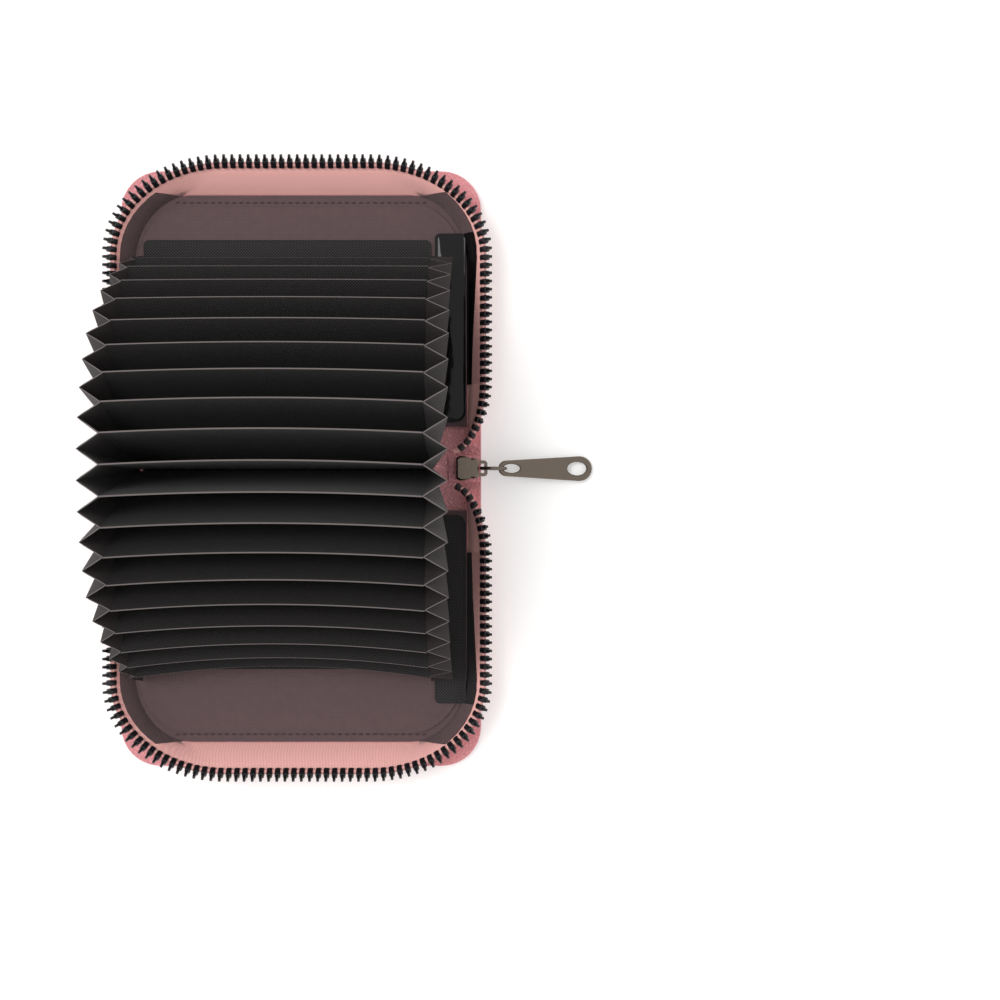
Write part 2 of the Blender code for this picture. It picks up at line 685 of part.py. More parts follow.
def pull_tab(finish, parent, tilt):
    """The tapered pull tab with its eye and its finger hole, drawn from the bar that the ring goes round."""
    near, far = -TAB_BAR / 2, TAB_LENGTH - TAB_BAR / 2
    neck, foot = TAB_NECK / 2, TAB_FOOT / 2
    outline = [(near + neck * (1 - math.sin(a)), neck * math.cos(a)) for a in (math.radians(18 * k) for k in range(11))]
    outline += [(far - foot + foot * math.sin(a), -foot * math.cos(a)) for a in (math.radians(18 * k) for k in range(11))]
    eye = near + TAB_EYE_CENTRE
    hole = far - TAB_HOLE_RIM - TAB_HOLE_LENGTH / 2
    curve = bpy.data.curves.new("pull_tab", "CURVE")
    curve.dimensions = "2D"
    curve.fill_mode = "BOTH"
    curve.extrude = TAB_DEPTH / 2 - TAB_EDGE
    curve.bevel_depth = TAB_EDGE
    curve.bevel_resolution = 0
    curve.offset = -TAB_EDGE
    plan_spline(curve, outline)
    plan_spline(curve, oval(eye, TAB_EYE_LENGTH, TAB_EYE_WIDTH))
    plan_spline(curve, oval(hole, TAB_HOLE_LENGTH, TAB_HOLE_WIDTH))
    made = bpy.data.objects.new("pull_tab", curve)
    bpy.context.scene.collection.objects.link(made)
    made.data.materials.append(finish)
    made.parent = parent
    made.rotation_euler = (0, tilt, 0)
    return made


def build_cover(name, side, finishes):
    """All the pieces that turn with one cover, about its crease."""
    axis = pivot(f"{name}_crease", (0, side * CREASE_Y, CREASE_Z))
    inside = COVER_LENGTH - 2 * (RIM_WIDTH + SEAT_GAP)
    reach = COVER_WIDTH - RIM_WIDTH - SEAT_GAP
    corner = COVER_CORNER - RIM_WIDTH - SEAT_GAP
    near = CREASE_ROOM + SEAT_GAP
    cover_shell(f"{name}_cover_leather", side, finishes["leather"], axis)
    panel(
        f"{name}_cover_facing", side, finishes["leather"], axis, symmetric(inside), near, reach, corner,
        LEATHER + LAYER_GAP, FACING,
    )
    panel(
        f"{name}_lining", side, finishes["lining"], axis, symmetric(2 * LINING_HALF), near, LINING_REACH,
        LINING_CORNER_X, LINING_BASE, LINING, 7, LINING_CORNER_Y,
    )
    panel(
        f"{name}_slip_pocket", side, finishes["lining"], axis, symmetric(2 * LINING_HALF - 2 * SLIP_POCKET_INSET),
        near + SEAT_GAP, LINING_REACH - SLIP_POCKET_INSET, LINING_CORNER_X - SLIP_POCKET_INSET, SLIP_BASE, SLIP_POCKET,
        7, LINING_CORNER_Y - SLIP_POCKET_INSET,
    )
    low_x = ACCORDION_SHIFT - LEAF_LENGTH / 2
    high_x = ACCORDION_SHIFT + LEAF_LENGTH / 2
    panel(
        f"{name}_end_panel", side, finishes["accordion"], axis, (low_x, high_x), END_PANEL_START,
        END_PANEL_START + END_PANEL_DEPTH, 1.5 * MM, END_PANEL_BASE, END_PANEL, 2,
    )
    pocket = (high_x + SIDE_POCKET_GAP, LINING_HALF - SIDE_POCKET_EDGE)
    panel(
        f"{name}_side_pocket", side, finishes["vinyl" if side > 0 else "accordion"], axis, pocket,
        SIDE_POCKET_START, SIDE_POCKET_END, 2 * MM, END_PANEL_BASE, END_PANEL, 3,
    )
    tape(f"{name}_zip_tape", side, finishes["tape"], axis)
    teeth(f"{name}_zip_teeth", side, finishes["teeth"], axis)


def build_spine(finishes):
    """The spine's own pieces, and what the zip's two ends fasten to."""
    half = CREASE_Y - SPINE_EDGE_ROOM
    block(
        "spine_leather", (-COVER_LENGTH / 2, -half, 0), (COVER_LENGTH / 2, half, LEATHER),
        finishes["leather"], edge=LEATHER_EDGE_ROUND / 2,
    )
    block(
        "spine_lining", (SPINE_LINING_LOW, -SPINE_HALF, SPINE_LINING_BASE),
        (SPINE_LINING_HIGH, SPINE_HALF, SPINE_LINING_BASE + LINING), finishes["lining"],
    )
    root_band(finishes["accordion"])
    for name, low_x, high_x in (
        ("slider", SPINE_LINING_HIGH + SEAT_GAP, SLIDER_NOSE),
        ("end_box", -END_BOX_INNER - END_BOX_DEPTH, SPINE_LINING_LOW - SEAT_GAP),
    ):
        block(
            f"{name}_anchor_tab", (low_x, -ANCHOR_TAB_WIDTH / 2, ANCHOR_BASE),
            (high_x, ANCHOR_TAB_WIDTH / 2, ANCHOR_BASE + ANCHOR_TAB), finishes["leather"], edge=0.3 * MM,
        )
    block(
        "zip_end_box", (-END_BOX_INNER - END_BOX_DEPTH, -END_BOX_WIDTH / 2, SLIDER_FOOT),
        (-END_BOX_INNER, END_BOX_WIDTH / 2, END_BOX_TOP), finishes["metal"], edge=0.6 * MM,
    )


def main():
    for old in list(bpy.data.objects):
        bpy.data.objects.remove(old)
    finishes = {
        "leather": material("pink_pebbled_leather", (0.80, 0.33, 0.36), 0.55),
        "lining": material("taupe_lining", (0.085, 0.058, 0.064), 0.8),
        "accordion": material("black_ribbed_fabric", (0.012, 0.011, 0.012), 0.75),
        "vinyl": material("clear_vinyl", (0.02, 0.018, 0.02), 0.15),
        "tape": material("pink_zip_tape", (0.80, 0.36, 0.36), 0.8),
        "teeth": material("black_moulded_teeth", (0.012, 0.012, 0.014), 0.35),
        "metal": material("gunmetal", (0.13, 0.12, 0.11), 0.3, 0.9),
    }
    build_spine(finishes)
    build_cover("back", 1, finishes)
    build_cover("front", -1, finishes)
    for index in range(-LEAVES_PER_SIDE, LEAVES_PER_SIDE + 1):
        leaf(index, finishes["accordion"])
    gusset("left_gusset", -1, finishes["accordion"])
    gusset("right_gusset", 1, finishes["accordion"])
    for end, end_name in ((-1, "left"), (1, "right")):
        for side, side_name in ((-1, "front"), (1, "back")):
            tail_tape(f"{side_name}_{end_name}_tail_tape", end, side, finishes["tape"])
            tail_teeth(f"{side_name}_{end_name}_tail_teeth", end, side, finishes["teeth"])
    slider(finishes["metal"])
    bridge(finishes["metal"])
    bar = Vector((SLIDER_NOSE + BRIDGE_REACH - BRIDGE_BAR / 2, 0, BRIDGE_Z))
    ring_pivot = pivot("ring_pivot", bar)
    ring(finishes["metal"], ring_pivot)
    tab_pivot = pivot("tab_pivot", (TAB_PIN_X - bar.x, 0, 0), ring_pivot)
    tilt = math.asin((BRIDGE_Z - TAB_DEPTH / 2) / (TAB_LENGTH - TAB_BAR / 2))
    pull_tab(finishes["metal"], tab_pivot, tilt)


main()
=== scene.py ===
import math

import bpy
from mathutils import Matrix, Vector


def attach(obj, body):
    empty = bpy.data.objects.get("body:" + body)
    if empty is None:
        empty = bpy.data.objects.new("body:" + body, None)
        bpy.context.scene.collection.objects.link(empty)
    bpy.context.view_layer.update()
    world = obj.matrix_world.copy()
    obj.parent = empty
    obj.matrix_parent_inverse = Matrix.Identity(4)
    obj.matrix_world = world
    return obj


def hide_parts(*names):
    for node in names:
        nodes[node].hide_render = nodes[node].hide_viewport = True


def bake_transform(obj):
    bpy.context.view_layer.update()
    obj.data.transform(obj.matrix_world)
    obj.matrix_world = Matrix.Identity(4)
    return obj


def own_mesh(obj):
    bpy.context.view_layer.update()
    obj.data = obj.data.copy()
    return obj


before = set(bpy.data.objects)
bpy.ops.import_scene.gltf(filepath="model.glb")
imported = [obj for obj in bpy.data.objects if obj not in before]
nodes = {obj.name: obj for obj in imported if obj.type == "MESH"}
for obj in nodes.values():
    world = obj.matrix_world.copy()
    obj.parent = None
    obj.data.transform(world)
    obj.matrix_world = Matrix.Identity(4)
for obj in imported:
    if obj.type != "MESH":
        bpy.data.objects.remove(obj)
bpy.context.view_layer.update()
MM = 0.001

# The open wallet lies on a plain pale table and is seen from straight above, as in the photograph.
# Soft daylight comes from all round, and a broad lamp from the upper left gives the folds their shade.
# The camera stands right of the wallet, because the photograph shows the closed wallet there.
CAMERA_PLACE = (60.8 * MM, -9.6 * MM, 509 * MM)
CAMERA_LENS = 59.7
TABLE_SIZE = 6
TABLE_GAP = 0.25 * MM
TABLE_GLOW = 0.22
SKY_LEVEL = 0.85
LAMP_LEVEL = 1.0
LAMP_WIDTH = math.radians(24)
LAMP_TURN = (math.radians(-12), math.radians(-26), 0)


def hex_colour(text):
    """An sRGB hex value as the linear colour that a shader takes."""
    parts = [int(text[n : n + 2], 16) / 255 for n in (0, 2, 4)]
    return (*(c / 12.92 if c <= 0.04045 else ((c + 0.055) / 1.055) ** 2.4 for c in parts), 1)


def add(material, kind, links=(), **settings):
    """Adds one node: its settings, the values of its inputs, and the sockets that feed them."""
    node = material.node_tree.nodes.new(kind)
    for name, value in settings.items():
        setattr(node, name, value)
    for name, source in dict(links).items():
        if isinstance(source, bpy.types.NodeSocket):
            material.node_tree.links.new(source, node.inputs[name])
        else:
            node.inputs[name].default_value = source
    return node


def new_finish(name, colour, roughness, metallic=0.0, **inputs):
    """A material whose shader starts from one colour and roughness."""
    material = bpy.data.materials.new(name)
    material.use_nodes = True
    shader = material.node_tree.nodes["Principled BSDF"]
    shader.inputs["Base Color"].default_value = hex_colour(colour)
    shader.inputs["Roughness"].default_value = roughness
    shader.inputs["Metallic"].default_value = metallic
    for name, value in inputs.items():
        shader.inputs[name.replace("_", " ")].default_value = value
    return material, shader


def place_new(name, data):
    """A new object in the scene."""
    made = bpy.data.objects.new(name, data)
    bpy.context.scene.collection.objects.link(made)
    return made


camera = place_new("camera", bpy.data.cameras.new("camera"))
camera.location = CAMERA_PLACE
camera.data.sensor_width = 36
camera.data.lens = CAMERA_LENS
camera.data.clip_start = 10 * MM
bpy.context.scene.camera = camera
bpy.context.scene.view_settings.view_transform = "Standard"

bpy.ops.object.select_all(action="DESELECT")
bpy.ops.mesh.primitive_plane_add(size=TABLE_SIZE, location=(0, 0, -TABLE_GAP))
table_top = bpy.context.object
table_top.name = "table_top"
# The table glows a little where it is seen, directly or in a reflection, and casts no light on the wallet.
paper, paper_shader = new_finish("white_paper", "F3F3F2", 0.95)
ray = add(paper, "ShaderNodeLightPath").outputs
mirrored = add(
    paper, "ShaderNodeMath", {0: ray["Is Glossy Ray"], 1: ray["Is Transmission Ray"]}, operation="MAXIMUM"
)
seen = add(paper, "ShaderNodeMath", {0: ray["Is Camera Ray"], 1: mirrored.outputs[0]}, operation="MAXIMUM")
glow = add(paper, "ShaderNodeMath", {0: seen.outputs[0], 1: TABLE_GLOW}, operation="MULTIPLY")
paper_shader.inputs["Emission Color"].default_value = hex_colour("FFFFFF")
paper.node_tree.links.new(glow.outputs[0], paper_shader.inputs["Emission Strength"])
table_top.data.materials.append(paper)

sky = bpy.data.worlds.new("daylight")
sky.use_nodes = True
sky.node_tree.nodes["Background"].inputs["Color"].default_value = (1, 1, 1, 1)
sky.node_tree.nodes["Background"].inputs["Strength"].default_value = SKY_LEVEL
bpy.context.scene.world = sky
lamp = place_new("broad_lamp", bpy.data.lights.new("broad_lamp", "SUN"))
lamp.data.energy = LAMP_LEVEL
lamp.data.angle = LAMP_WIDTH
lamp.rotation_euler = LAMP_TURN

# Covers and spine: one hide of pebbled, pigmented cow leather a millimetre thick, with its edges turned up.
# It is embossed with a small irregular grain, waxed to a soft shine, and it folds along two creases.
LEATHER_PINK = "ECA5A9"
# The next colour is painted shade in the creases between the grains.
LEATHER_CREASE_SHADE = "E2989D"
LEATHER_CLOUD = "E79EA3"
COVER_HALF = 55 * MM
CREASE_Y = 11.6 * MM
COVER_FORE = 90.9 * MM
COVER_CORNER = 12 * MM
RIM_HEIGHT = 2.4 * MM
RIM_WIDTH = 1.3 * MM
FACING_TOP = 1.85 * MM
LEATHER_SOFT = 0.45 * MM
STITCH_LINE = 2.8 * MM
CHANNEL_WIDTH = 0.5 * MM
CHANNEL_DEPTH = 0.14 * MM
SPINE_OVERLAP = 8 * MM
SPINE_MIDDLE = 0.02 * MM
CREASE_CUTS = 13
CREASE_CUT_STEP = 0.25 * MM
CLOSE_TO = 0.1 * MM
PEBBLE = 1.15 * MM
COVERS = ((1, "back"), (-1, "front"))


def add_bump(material, shader, height, distance, strength=0.5):
    """Gives a finish its relief, from a height pattern and the real height of its steps."""
    bump = add(material, "ShaderNodeBump", {"Height": height, "Distance": distance, "Strength": strength})
    material.node_tree.links.new(bump.outputs[0], shader.inputs["Normal"])


def add_tones(material, shader, share, low, high):
    """Colours a finish from one tone to another by a pattern."""
    mix = add(material, "ShaderNodeMixRGB", {"Fac": share, "Color1": low, "Color2": high})
    material.node_tree.links.new(mix.outputs[0], shader.inputs["Base Color"])


# In all finishes the Scale of a noise or wave is in steps a metre, as Object coordinates are in metres.
def pebbled_leather():
    """Pebbled leather: rounded grains about a millimetre across, with deeper creases painted a darker pink as
    shade, and a waxed shine.
    """
    material, shader = new_finish("pebbled_leather", LEATHER_PINK, 0.46, Specular_IOR_Level=0.4)
    place = add(material, "ShaderNodeTexCoord").outputs["Object"]
    drift = add(material, "ShaderNodeTexNoise", {"Vector": place, "Scale": 260, "Detail": 3})
    bend = add(
        material, "ShaderNodeMixRGB", {"Color1": place, "Color2": drift.outputs["Color"], "Fac": 0.0012},
        blend_type="ADD",
    )
    grain = add(
        material, "ShaderNodeTexVoronoi",
        {"Vector": bend.outputs[0], "Scale": 1 / PEBBLE, "Smoothness": 0.35}, feature="SMOOTH_F1",
    )
    edges = add(
        material, "ShaderNodeTexVoronoi", {"Vector": bend.outputs[0], "Scale": 1 / PEBBLE},
        feature="DISTANCE_TO_EDGE",
    )
    crease_depth_and_shade = add(material, "ShaderNodeMapRange", {"Value": edges.outputs["Distance"], "From Max": 0.3})
    fine = add(material, "ShaderNodeTexNoise", {"Vector": place, "Scale": 2600, "Detail": 4})
    dome = add(
        material, "ShaderNodeMath", {0: crease_depth_and_shade.outputs[0], 1: grain.outputs["Distance"]}, operation="SUBTRACT"
    )
    relief = add(
        material, "ShaderNodeMath", {0: fine.outputs[0], 1: 0.25, 2: dome.outputs[0]},
        operation="MULTIPLY_ADD",
    )
    add_bump(material, shader, relief.outputs[0], 0.2 * MM, 0.6)
    cloud = add(material, "ShaderNodeTexNoise", {"Vector": place, "Scale": 45, "Detail": 3})
    tone = add(material, "ShaderNodeValToRGB", {"Fac": cloud.outputs[0]})
    tone.color_ramp.elements[0].color = hex_colour(LEATHER_CLOUD)
    tone.color_ramp.elements[0].position = 0.35
    tone.color_ramp.elements[1].color = hex_colour(LEATHER_PINK)
    tone.color_ramp.elements[1].position = 0.65
    # The creases between grains are coloured a darker pink: painted shade. The same mask also gives their
    # depth in the bump.
    add_tones(material, shader, crease_depth_and_shade.outputs[0], hex_colour(LEATHER_CREASE_SHADE), tone.outputs[0])
    return material


def pick(obj, test, kind="FACE"):
    """In edit mode, selects only the elements of one kind whose middle passes the test."""
    bpy.ops.object.mode_set(mode="EDIT")
    bpy.ops.mesh.select_mode(type=kind)
    bpy.ops.mesh.select_all(action="DESELECT")
    bpy.ops.object.mode_set(mode="OBJECT")
    mesh = obj.data
    found = {"FACE": mesh.polygons, "EDGE": mesh.edges, "VERT": mesh.vertices}[kind]
    for element in found:
        if kind == "VERT":
            middle, normal = element.co, element.normal
        elif kind == "EDGE":
            middle = (mesh.vertices[element.vertices[0]].co + mesh.vertices[element.vertices[1]].co) / 2
            normal = Vector((0, 0, 0))
        else:
            middle, normal = element.center, element.normal
        element.select = bool(test(middle, normal))
    bpy.ops.object.mode_set(mode="EDIT")


def start(name, kind, **settings):
    """Adds one primitive with nothing else selected, and puts its place into its mesh."""
    bpy.ops.object.select_all(action="DESELECT")
    getattr(bpy.ops.mesh, f"primitive_{kind}_add")(**settings)
    made = bpy.context.object
    made.name = name
    made.data.name = name
    return made


def settle(obj):
    """Back to object mode, with the object's place, turn and scale put into its mesh."""
    bpy.ops.object.mode_set(mode="OBJECT")
    obj.data.transform(obj.matrix_world)
    obj.matrix_world = Matrix.Identity(4)


def apply_all(obj):
    """Applies every modifier of a piece."""
    bpy.context.view_layer.objects.active = obj
    for modifier in list(obj.modifiers):
        bpy.ops.object.modifier_apply(modifier=modifier.name)


def select_only(obj):
    """Makes one object the only selected one, and the active one."""
    bpy.ops.object.select_all(action="DESELECT")
    obj.select_set(True)
    bpy.context.view_layer.objects.active = obj


def smooth(obj, angle):
    """Smooth shading, with edges sharper than the angle kept crisp."""
    select_only(obj)
    bpy.ops.object.shade_smooth_by_angle(angle=math.radians(angle))


def on_side(piece, side):
    """Mirrors a piece drawn for the back cover onto the front."""
    if side < 0:
        piece.data.transform(Matrix.Diagonal((1, -1, 1, 1)))
        piece.data.flip_normals()
    return piece


def rounded_sheet(name, half, near, far, corner, base, thickness, segments=8, corner_y=None, near_corner=0):
    """A flat sheet with two rounded far corners: a plane, its corners bevelled, drawn up to its thickness.
    With corner_y the corners are drawn out into ovals, and near_corner rounds the near ones too."""
    obj = start(name, "plane", size=1)
    obj.scale = (2 * half, far - near, 1)
    obj.location = (0, (near + far) / 2, base)
    settle(obj)
    pick(obj, lambda p, n: p.y > far - CLOSE_TO, "VERT")
    bpy.ops.mesh.bevel(offset=corner, segments=segments, affect="VERTICES")
    if near_corner:
        pick(obj, lambda p, n: p.y < near + CLOSE_TO, "VERT")
        bpy.ops.mesh.bevel(offset=near_corner, segments=segments, affect="VERTICES")
    if corner_y:
        pick(obj, lambda p, n: p.y > far - corner - 0.01 * MM, "VERT")
        bpy.ops.transform.resize(value=(1, corner_y / corner, 1), center_override=(0, far, base))
    bpy.ops.mesh.select_all(action="SELECT")
    bpy.ops.mesh.extrude_region_move(TRANSFORM_OT_translate={"value": (0, 0, thickness)})
    bpy.ops.mesh.select_all(action="SELECT")
    bpy.ops.mesh.normals_make_consistent(inside=False)
    bpy.ops.object.mode_set(mode="OBJECT")
    return obj


def on_outline(p, n):
    """Whether a point is on the cover's outer edge, at its underside or at the top of its rim."""
    at_edge = abs(p.x) > COVER_HALF - CLOSE_TO or p.y > COVER_FORE - CLOSE_TO
    from_centre = math.hypot(abs(p.x) - COVER_HALF + COVER_CORNER, p.y - COVER_FORE + COVER_CORNER)
    on_corner = p.y > COVER_FORE - COVER_CORNER * 1.02 and from_centre > COVER_CORNER * 0.985
    return (p.z < CLOSE_TO / 10 or p.z > RIM_HEIGHT - CLOSE_TO / 10) and (at_edge or on_corner)


leather = pebbled_leather()
for side, cover in COVERS:
    hide = rounded_sheet(
        f"{cover}_leather", COVER_HALF, -SPINE_OVERLAP, COVER_FORE, COVER_CORNER, 0, RIM_HEIGHT,
    )
    pick(hide, lambda p, n: n.z > 0.5)
    bpy.ops.mesh.inset(thickness=RIM_WIDTH)
    bpy.ops.transform.translate(value=(0, 0, FACING_TOP - RIM_HEIGHT))
    pick(hide, lambda p, n: n.z < -0.5)
    bpy.ops.mesh.inset(thickness=STITCH_LINE - CHANNEL_WIDTH)
    bpy.ops.mesh.inset(thickness=CHANNEL_WIDTH, depth=-CHANNEL_DEPTH)
    bpy.ops.mesh.inset(thickness=CHANNEL_WIDTH, depth=CHANNEL_DEPTH)
    pick(hide, on_outline, "EDGE")
    bpy.ops.mesh.bevel(offset=LEATHER_SOFT, segments=3, affect="EDGES")
    bpy.ops.mesh.select_all(action="SELECT")
    bpy.ops.mesh.bisect(plane_co=(0, SPINE_MIDDLE, 0), plane_no=(0, 1, 0), clear_inner=True, use_fill=True)
    for n in range(CREASE_CUTS):
        cut_y = CREASE_Y + (n - CREASE_CUTS // 2) * CREASE_CUT_STEP
        bpy.ops.mesh.select_all(action="SELECT")
        bpy.ops.mesh.bisect(plane_co=(0, cut_y, 0), plane_no=(0, 1, 0))
    bpy.ops.mesh.select_all(action="SELECT")
    bpy.ops.mesh.normals_make_consistent(inside=False)
    settle(hide)
    on_side(hide, side).data.materials.append(leather)
    smooth(hide, 35)
    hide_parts(f"{cover}_cover_leather", f"{cover}_cover_facing", "spine_leather")
    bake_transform(hide)

# Cover stitching: bonded polyester thread a shade paler than the leather, sewn by machine round three sides.
# Each stitch lies in the shallow channel that its pull makes, and a small dark mark at each needle hole is
# painted shade.
THREAD_PINK = "F0B6BA"
# The next colour is painted shade for the needle holes.
HOLE_SHADE_BROWN = "70323A"
STITCH = 2.7 * MM
STITCH_GAP = 0.7 * MM
STITCH_START = CREASE_Y + 3 * MM
STITCH_LIFT = 0.02 * MM
STITCH_SLANT = math.radians(5)
HOLE_SHADE_SLANT = math.radians(38)
HOLE_SHADE_SHAPE = Matrix.Diagonal((0.9, 0.3, 0.8, 1))
THREAD = 0.26 * MM


def bonded_thread():
    """Bonded thread: a smooth, slightly glossy strand with a faint twist."""
    material, shader = new_finish("bonded_thread", THREAD_PINK, 0.5)
    place = add(material, "ShaderNodeTexCoord").outputs["Object"]
    twist = add(material, "ShaderNodeTexWave", {"Vector": place, "Scale": 1600, "Distortion": 1.5})
    add_bump(material, shader, twist.outputs[0], 0.05 * MM)
    return material


def along_cover(distance, half, fore, corner, start_y):
    """A place and heading on a path round a cover's three sides, at a distance along it from the +X end."""
    side_run = fore - corner - start_y
    corner_run = corner * math.pi / 2
    total = 2 * side_run + 2 * corner_run + 2 * (half - corner)
    mirrored = distance > total / 2
    run = total - distance if mirrored else distance
    if run < side_run:
        place, angle = Vector((half, start_y + run, 0)), 0.0
    elif run < side_run + corner_run:
        angle = (run - side_run) / corner
        centre = Vector((half - corner, fore - corner, 0))
        place = centre + corner * Vector((math.cos(angle), math.sin(angle), 0))
    else:
        place, angle = Vector((half - corner - (run - side_run - corner_run), fore, 0)), math.pi / 2
    if mirrored:
        place.x, angle = -place.x, math.pi - angle
    return place, angle, total


def one_stitch():
    """One stitch: a short flattened strand, which narrows towards its two needle holes."""
    strand = start("stitch", "uv_sphere", segments=8, ring_count=6, radius=1)
    strand.scale = (THREAD * 1.15, STITCH / 2, THREAD * 0.8)
    settle(strand)
    return strand


def sew(name, pattern, places):
    """Copies of a pattern at each place (a matrix), joined into one piece. The pattern is then removed."""
    bpy.ops.object.select_all(action="DESELECT")
    copies = []
    for matrix in places:
        made = place_new(name, pattern.data.copy())
        made.data.transform(matrix)
        made.select_set(True)
        copies.append(made)
    bpy.context.view_layer.objects.active = copies[0]
    bpy.ops.object.join()
    bpy.data.objects.remove(pattern)
    copies[0].name = name
    return copies[0]


thread = bonded_thread()
hole_shade_finish, _ = new_finish("painted_hole_shade", HOLE_SHADE_BROWN, 0.7)
for side, cover in COVERS:
    path = (COVER_HALF - STITCH_LINE, COVER_FORE - STITCH_LINE, COVER_CORNER - STITCH_LINE, STITCH_START)
    total = along_cover(0, *path)[2]
    count = int(total / (STITCH + STITCH_GAP))
    places = []
    for n in range(count):
        place, angle, _ = along_cover(total * (n + 0.5) / count, *path)
        turn = Matrix.Rotation(angle + STITCH_SLANT, 4, "Z")
        places.append(Matrix.Translation(place + Vector((0, 0, STITCH_LIFT))) @ turn)
    row = sew(f"{cover}_stitches", one_stitch(), places)
    on_side(row, side).data.materials.append(thread)
    smooth(row, 60)
    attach(row, f"{cover}_cover")
    # Small dark strands at the needle holes between stitches: painted shade in the holes.
    places = []
    for n in range(count + 1):
        place, angle, _ = along_cover(min(total * n / count, total * 0.9999), *path)
        turn = Matrix.Rotation(angle + HOLE_SHADE_SLANT, 4, "Z")
        places.append(Matrix.Translation(place) @ turn @ HOLE_SHADE_SHAPE)
    hole_shades = sew(f"{cover}_knots", one_stitch(), places)
    on_side(hole_shades, side).data.materials.append(hole_shade_finish)
    smooth(hole_shades, 60)
    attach(hole_shades, f"{cover}_cover")

# Linings and slip pockets: plain-woven taupe cotton backed with paper, glued and sewn in along the zip.
# The pocket sheet over each lining has a folded top edge with a darker stitched line.
LINING_TAUPE = "685253"
LINING_DARK = "503F42"
LINING_HALF = 50.7 * MM
LINING_REACH = 71.8 * MM
LINING_CORNER_X = 17.4 * MM
LINING_CORNER_Y = 21.4 * MM
HEM_STITCH_LINE = 2.2 * MM
HEM_STITCH_PITCH = 2.1 * MM
HEM_STITCH_LIFT = 0.42 * MM
HEM_STITCH_SHAPE = Matrix.Diagonal((0.9, 0.5, 0.9, 1))
HEM_THREAD = "3A2D31"
FOLD_INSET = 0.9 * MM
FOLD_WIDTH = 0.35 * MM
FOLD_DEPTH = 0.1 * MM
SHEET_START = CREASE_Y + 1.2 * MM
LINING_BASE = 2.1 * MM
SHEETS = (("lining", LINING_BASE, 0, 0.4 * MM), ("slip_pocket", 2.75 * MM, 2.6 * MM, 0.35 * MM))
POCKET_SIDE_INSET = 0.6 * MM
THREAD_PITCH = 0.42 * MM
WAVE_REPEAT = math.pi / 10


def plain_weave():
    """Plain weave: crossing threads under half a millimetre apart, matt, with slubs and a faint sheen."""
    material, shader = new_finish(
        "plain_weave_lining", LINING_TAUPE, 0.82, Sheen_Weight=0.25, Sheen_Roughness=0.4,
    )
    place = add(material, "ShaderNodeTexCoord").outputs["Object"]
    threads = {"Vector": place, "Scale": WAVE_REPEAT / THREAD_PITCH, "Distortion": 0.4}
    warp = add(material, "ShaderNodeTexWave", threads, bands_direction="X")
    weft = add(material, "ShaderNodeTexWave", threads, bands_direction="Y")
    weave = add(material, "ShaderNodeMath", {0: warp.outputs[0], 1: weft.outputs[0]}, operation="MULTIPLY")
    slub = add(material, "ShaderNodeTexNoise", {"Vector": place, "Scale": 420, "Detail": 3})
    relief = add(
        material, "ShaderNodeMath", {0: slub.outputs[0], 1: 0.5, 2: weave.outputs[0]},
        operation="MULTIPLY_ADD",
    )
    add_bump(material, shader, relief.outputs[0], 0.12 * MM)
    add_tones(material, shader, relief.outputs[0], hex_colour(LINING_DARK), hex_colour(LINING_TAUPE))
    return material


lining_cloth = plain_weave()
dark_thread, _ = new_finish("dark_thread", HEM_THREAD, 0.6)
for side, cover in COVERS:
    for name, base, inset, thickness in SHEETS:
        drawn_in = min(inset, POCKET_SIDE_INSET)
        sheet = rounded_sheet(
            f"{cover}_{name}_cloth", LINING_HALF - drawn_in, SHEET_START, CREASE_Y + LINING_REACH - inset,
            LINING_CORNER_X - drawn_in, base, thickness, 12, LINING_CORNER_Y - drawn_in,
        )
        pick(sheet, lambda p, n: n.z > 0.5)
        bpy.ops.mesh.inset(thickness=FOLD_INSET)
        bpy.ops.mesh.inset(thickness=FOLD_WIDTH, depth=-FOLD_DEPTH)
        bpy.ops.mesh.inset(thickness=FOLD_WIDTH, depth=FOLD_DEPTH)
        settle(sheet)
        on_side(sheet, side).data.materials.append(lining_cloth)
        smooth(sheet, 50)
        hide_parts(f"{cover}_{name}")
        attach(sheet, f"{cover}_cover")
    run = LINING_HALF - 0.75 * LINING_CORNER_X
    count = int(2 * run / HEM_STITCH_PITCH)
    places = []
    hem_y, hem_z = CREASE_Y + LINING_REACH - HEM_STITCH_LINE, LINING_BASE + HEM_STITCH_LIFT
    for n in range(count + 1):
        place = Vector((-run + 2 * run * n / count, hem_y, hem_z))
        turn = Matrix.Rotation(math.radians(93), 4, "Z")
        places.append(Matrix.Translation(place) @ turn @ HEM_STITCH_SHAPE)
    hem_row = sew(f"{cover}_hem_stitches", one_stitch(), places)
    on_side(hem_row, side).data.materials.append(dark_thread)
    smooth(hem_row, 60)
    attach(hem_row, f"{cover}_cover")

# Accordion leaves: black polyester twill, folded and pressed, with fine diagonal dots in its weave.
# The up-facing fold at each mouth is paler as painted highlight, and the mouths bow towards the back, most in
# the front leaves.
CLOTH_BLACK = "0B0A0B"
CLOTH_THREAD = "4A4342"
# The next colour is a painted highlight on the leaves' up-facing mouth edges and on the pleats' rims.
CLOTH_EDGE_HIGHLIGHT = "6A6260"
MOUTH_BOW = 1.2 * MM
FRONT_BOW = 2.3 * MM
EDGE_SWELL = 0.04 * MM
MOUTH_ALLOWANCE = 0.2 * MM
TWILL = 0.9 * MM
LEAF_STEP = 8
LEAF_SPLAY = 0.08
LEAVES_PER_SIDE = 9
LEAF_LENGTH = 87.6 * MM
LEAF_DEPTH = 56 * MM
LEAF_SHIFT = -4 * MM
LEAF_PITCH = 0.894444 * MM
LEAF_ROOT = 3.5 * MM
ROOT_CROWN = 1.8 * MM
LEAF = 0.34 * MM


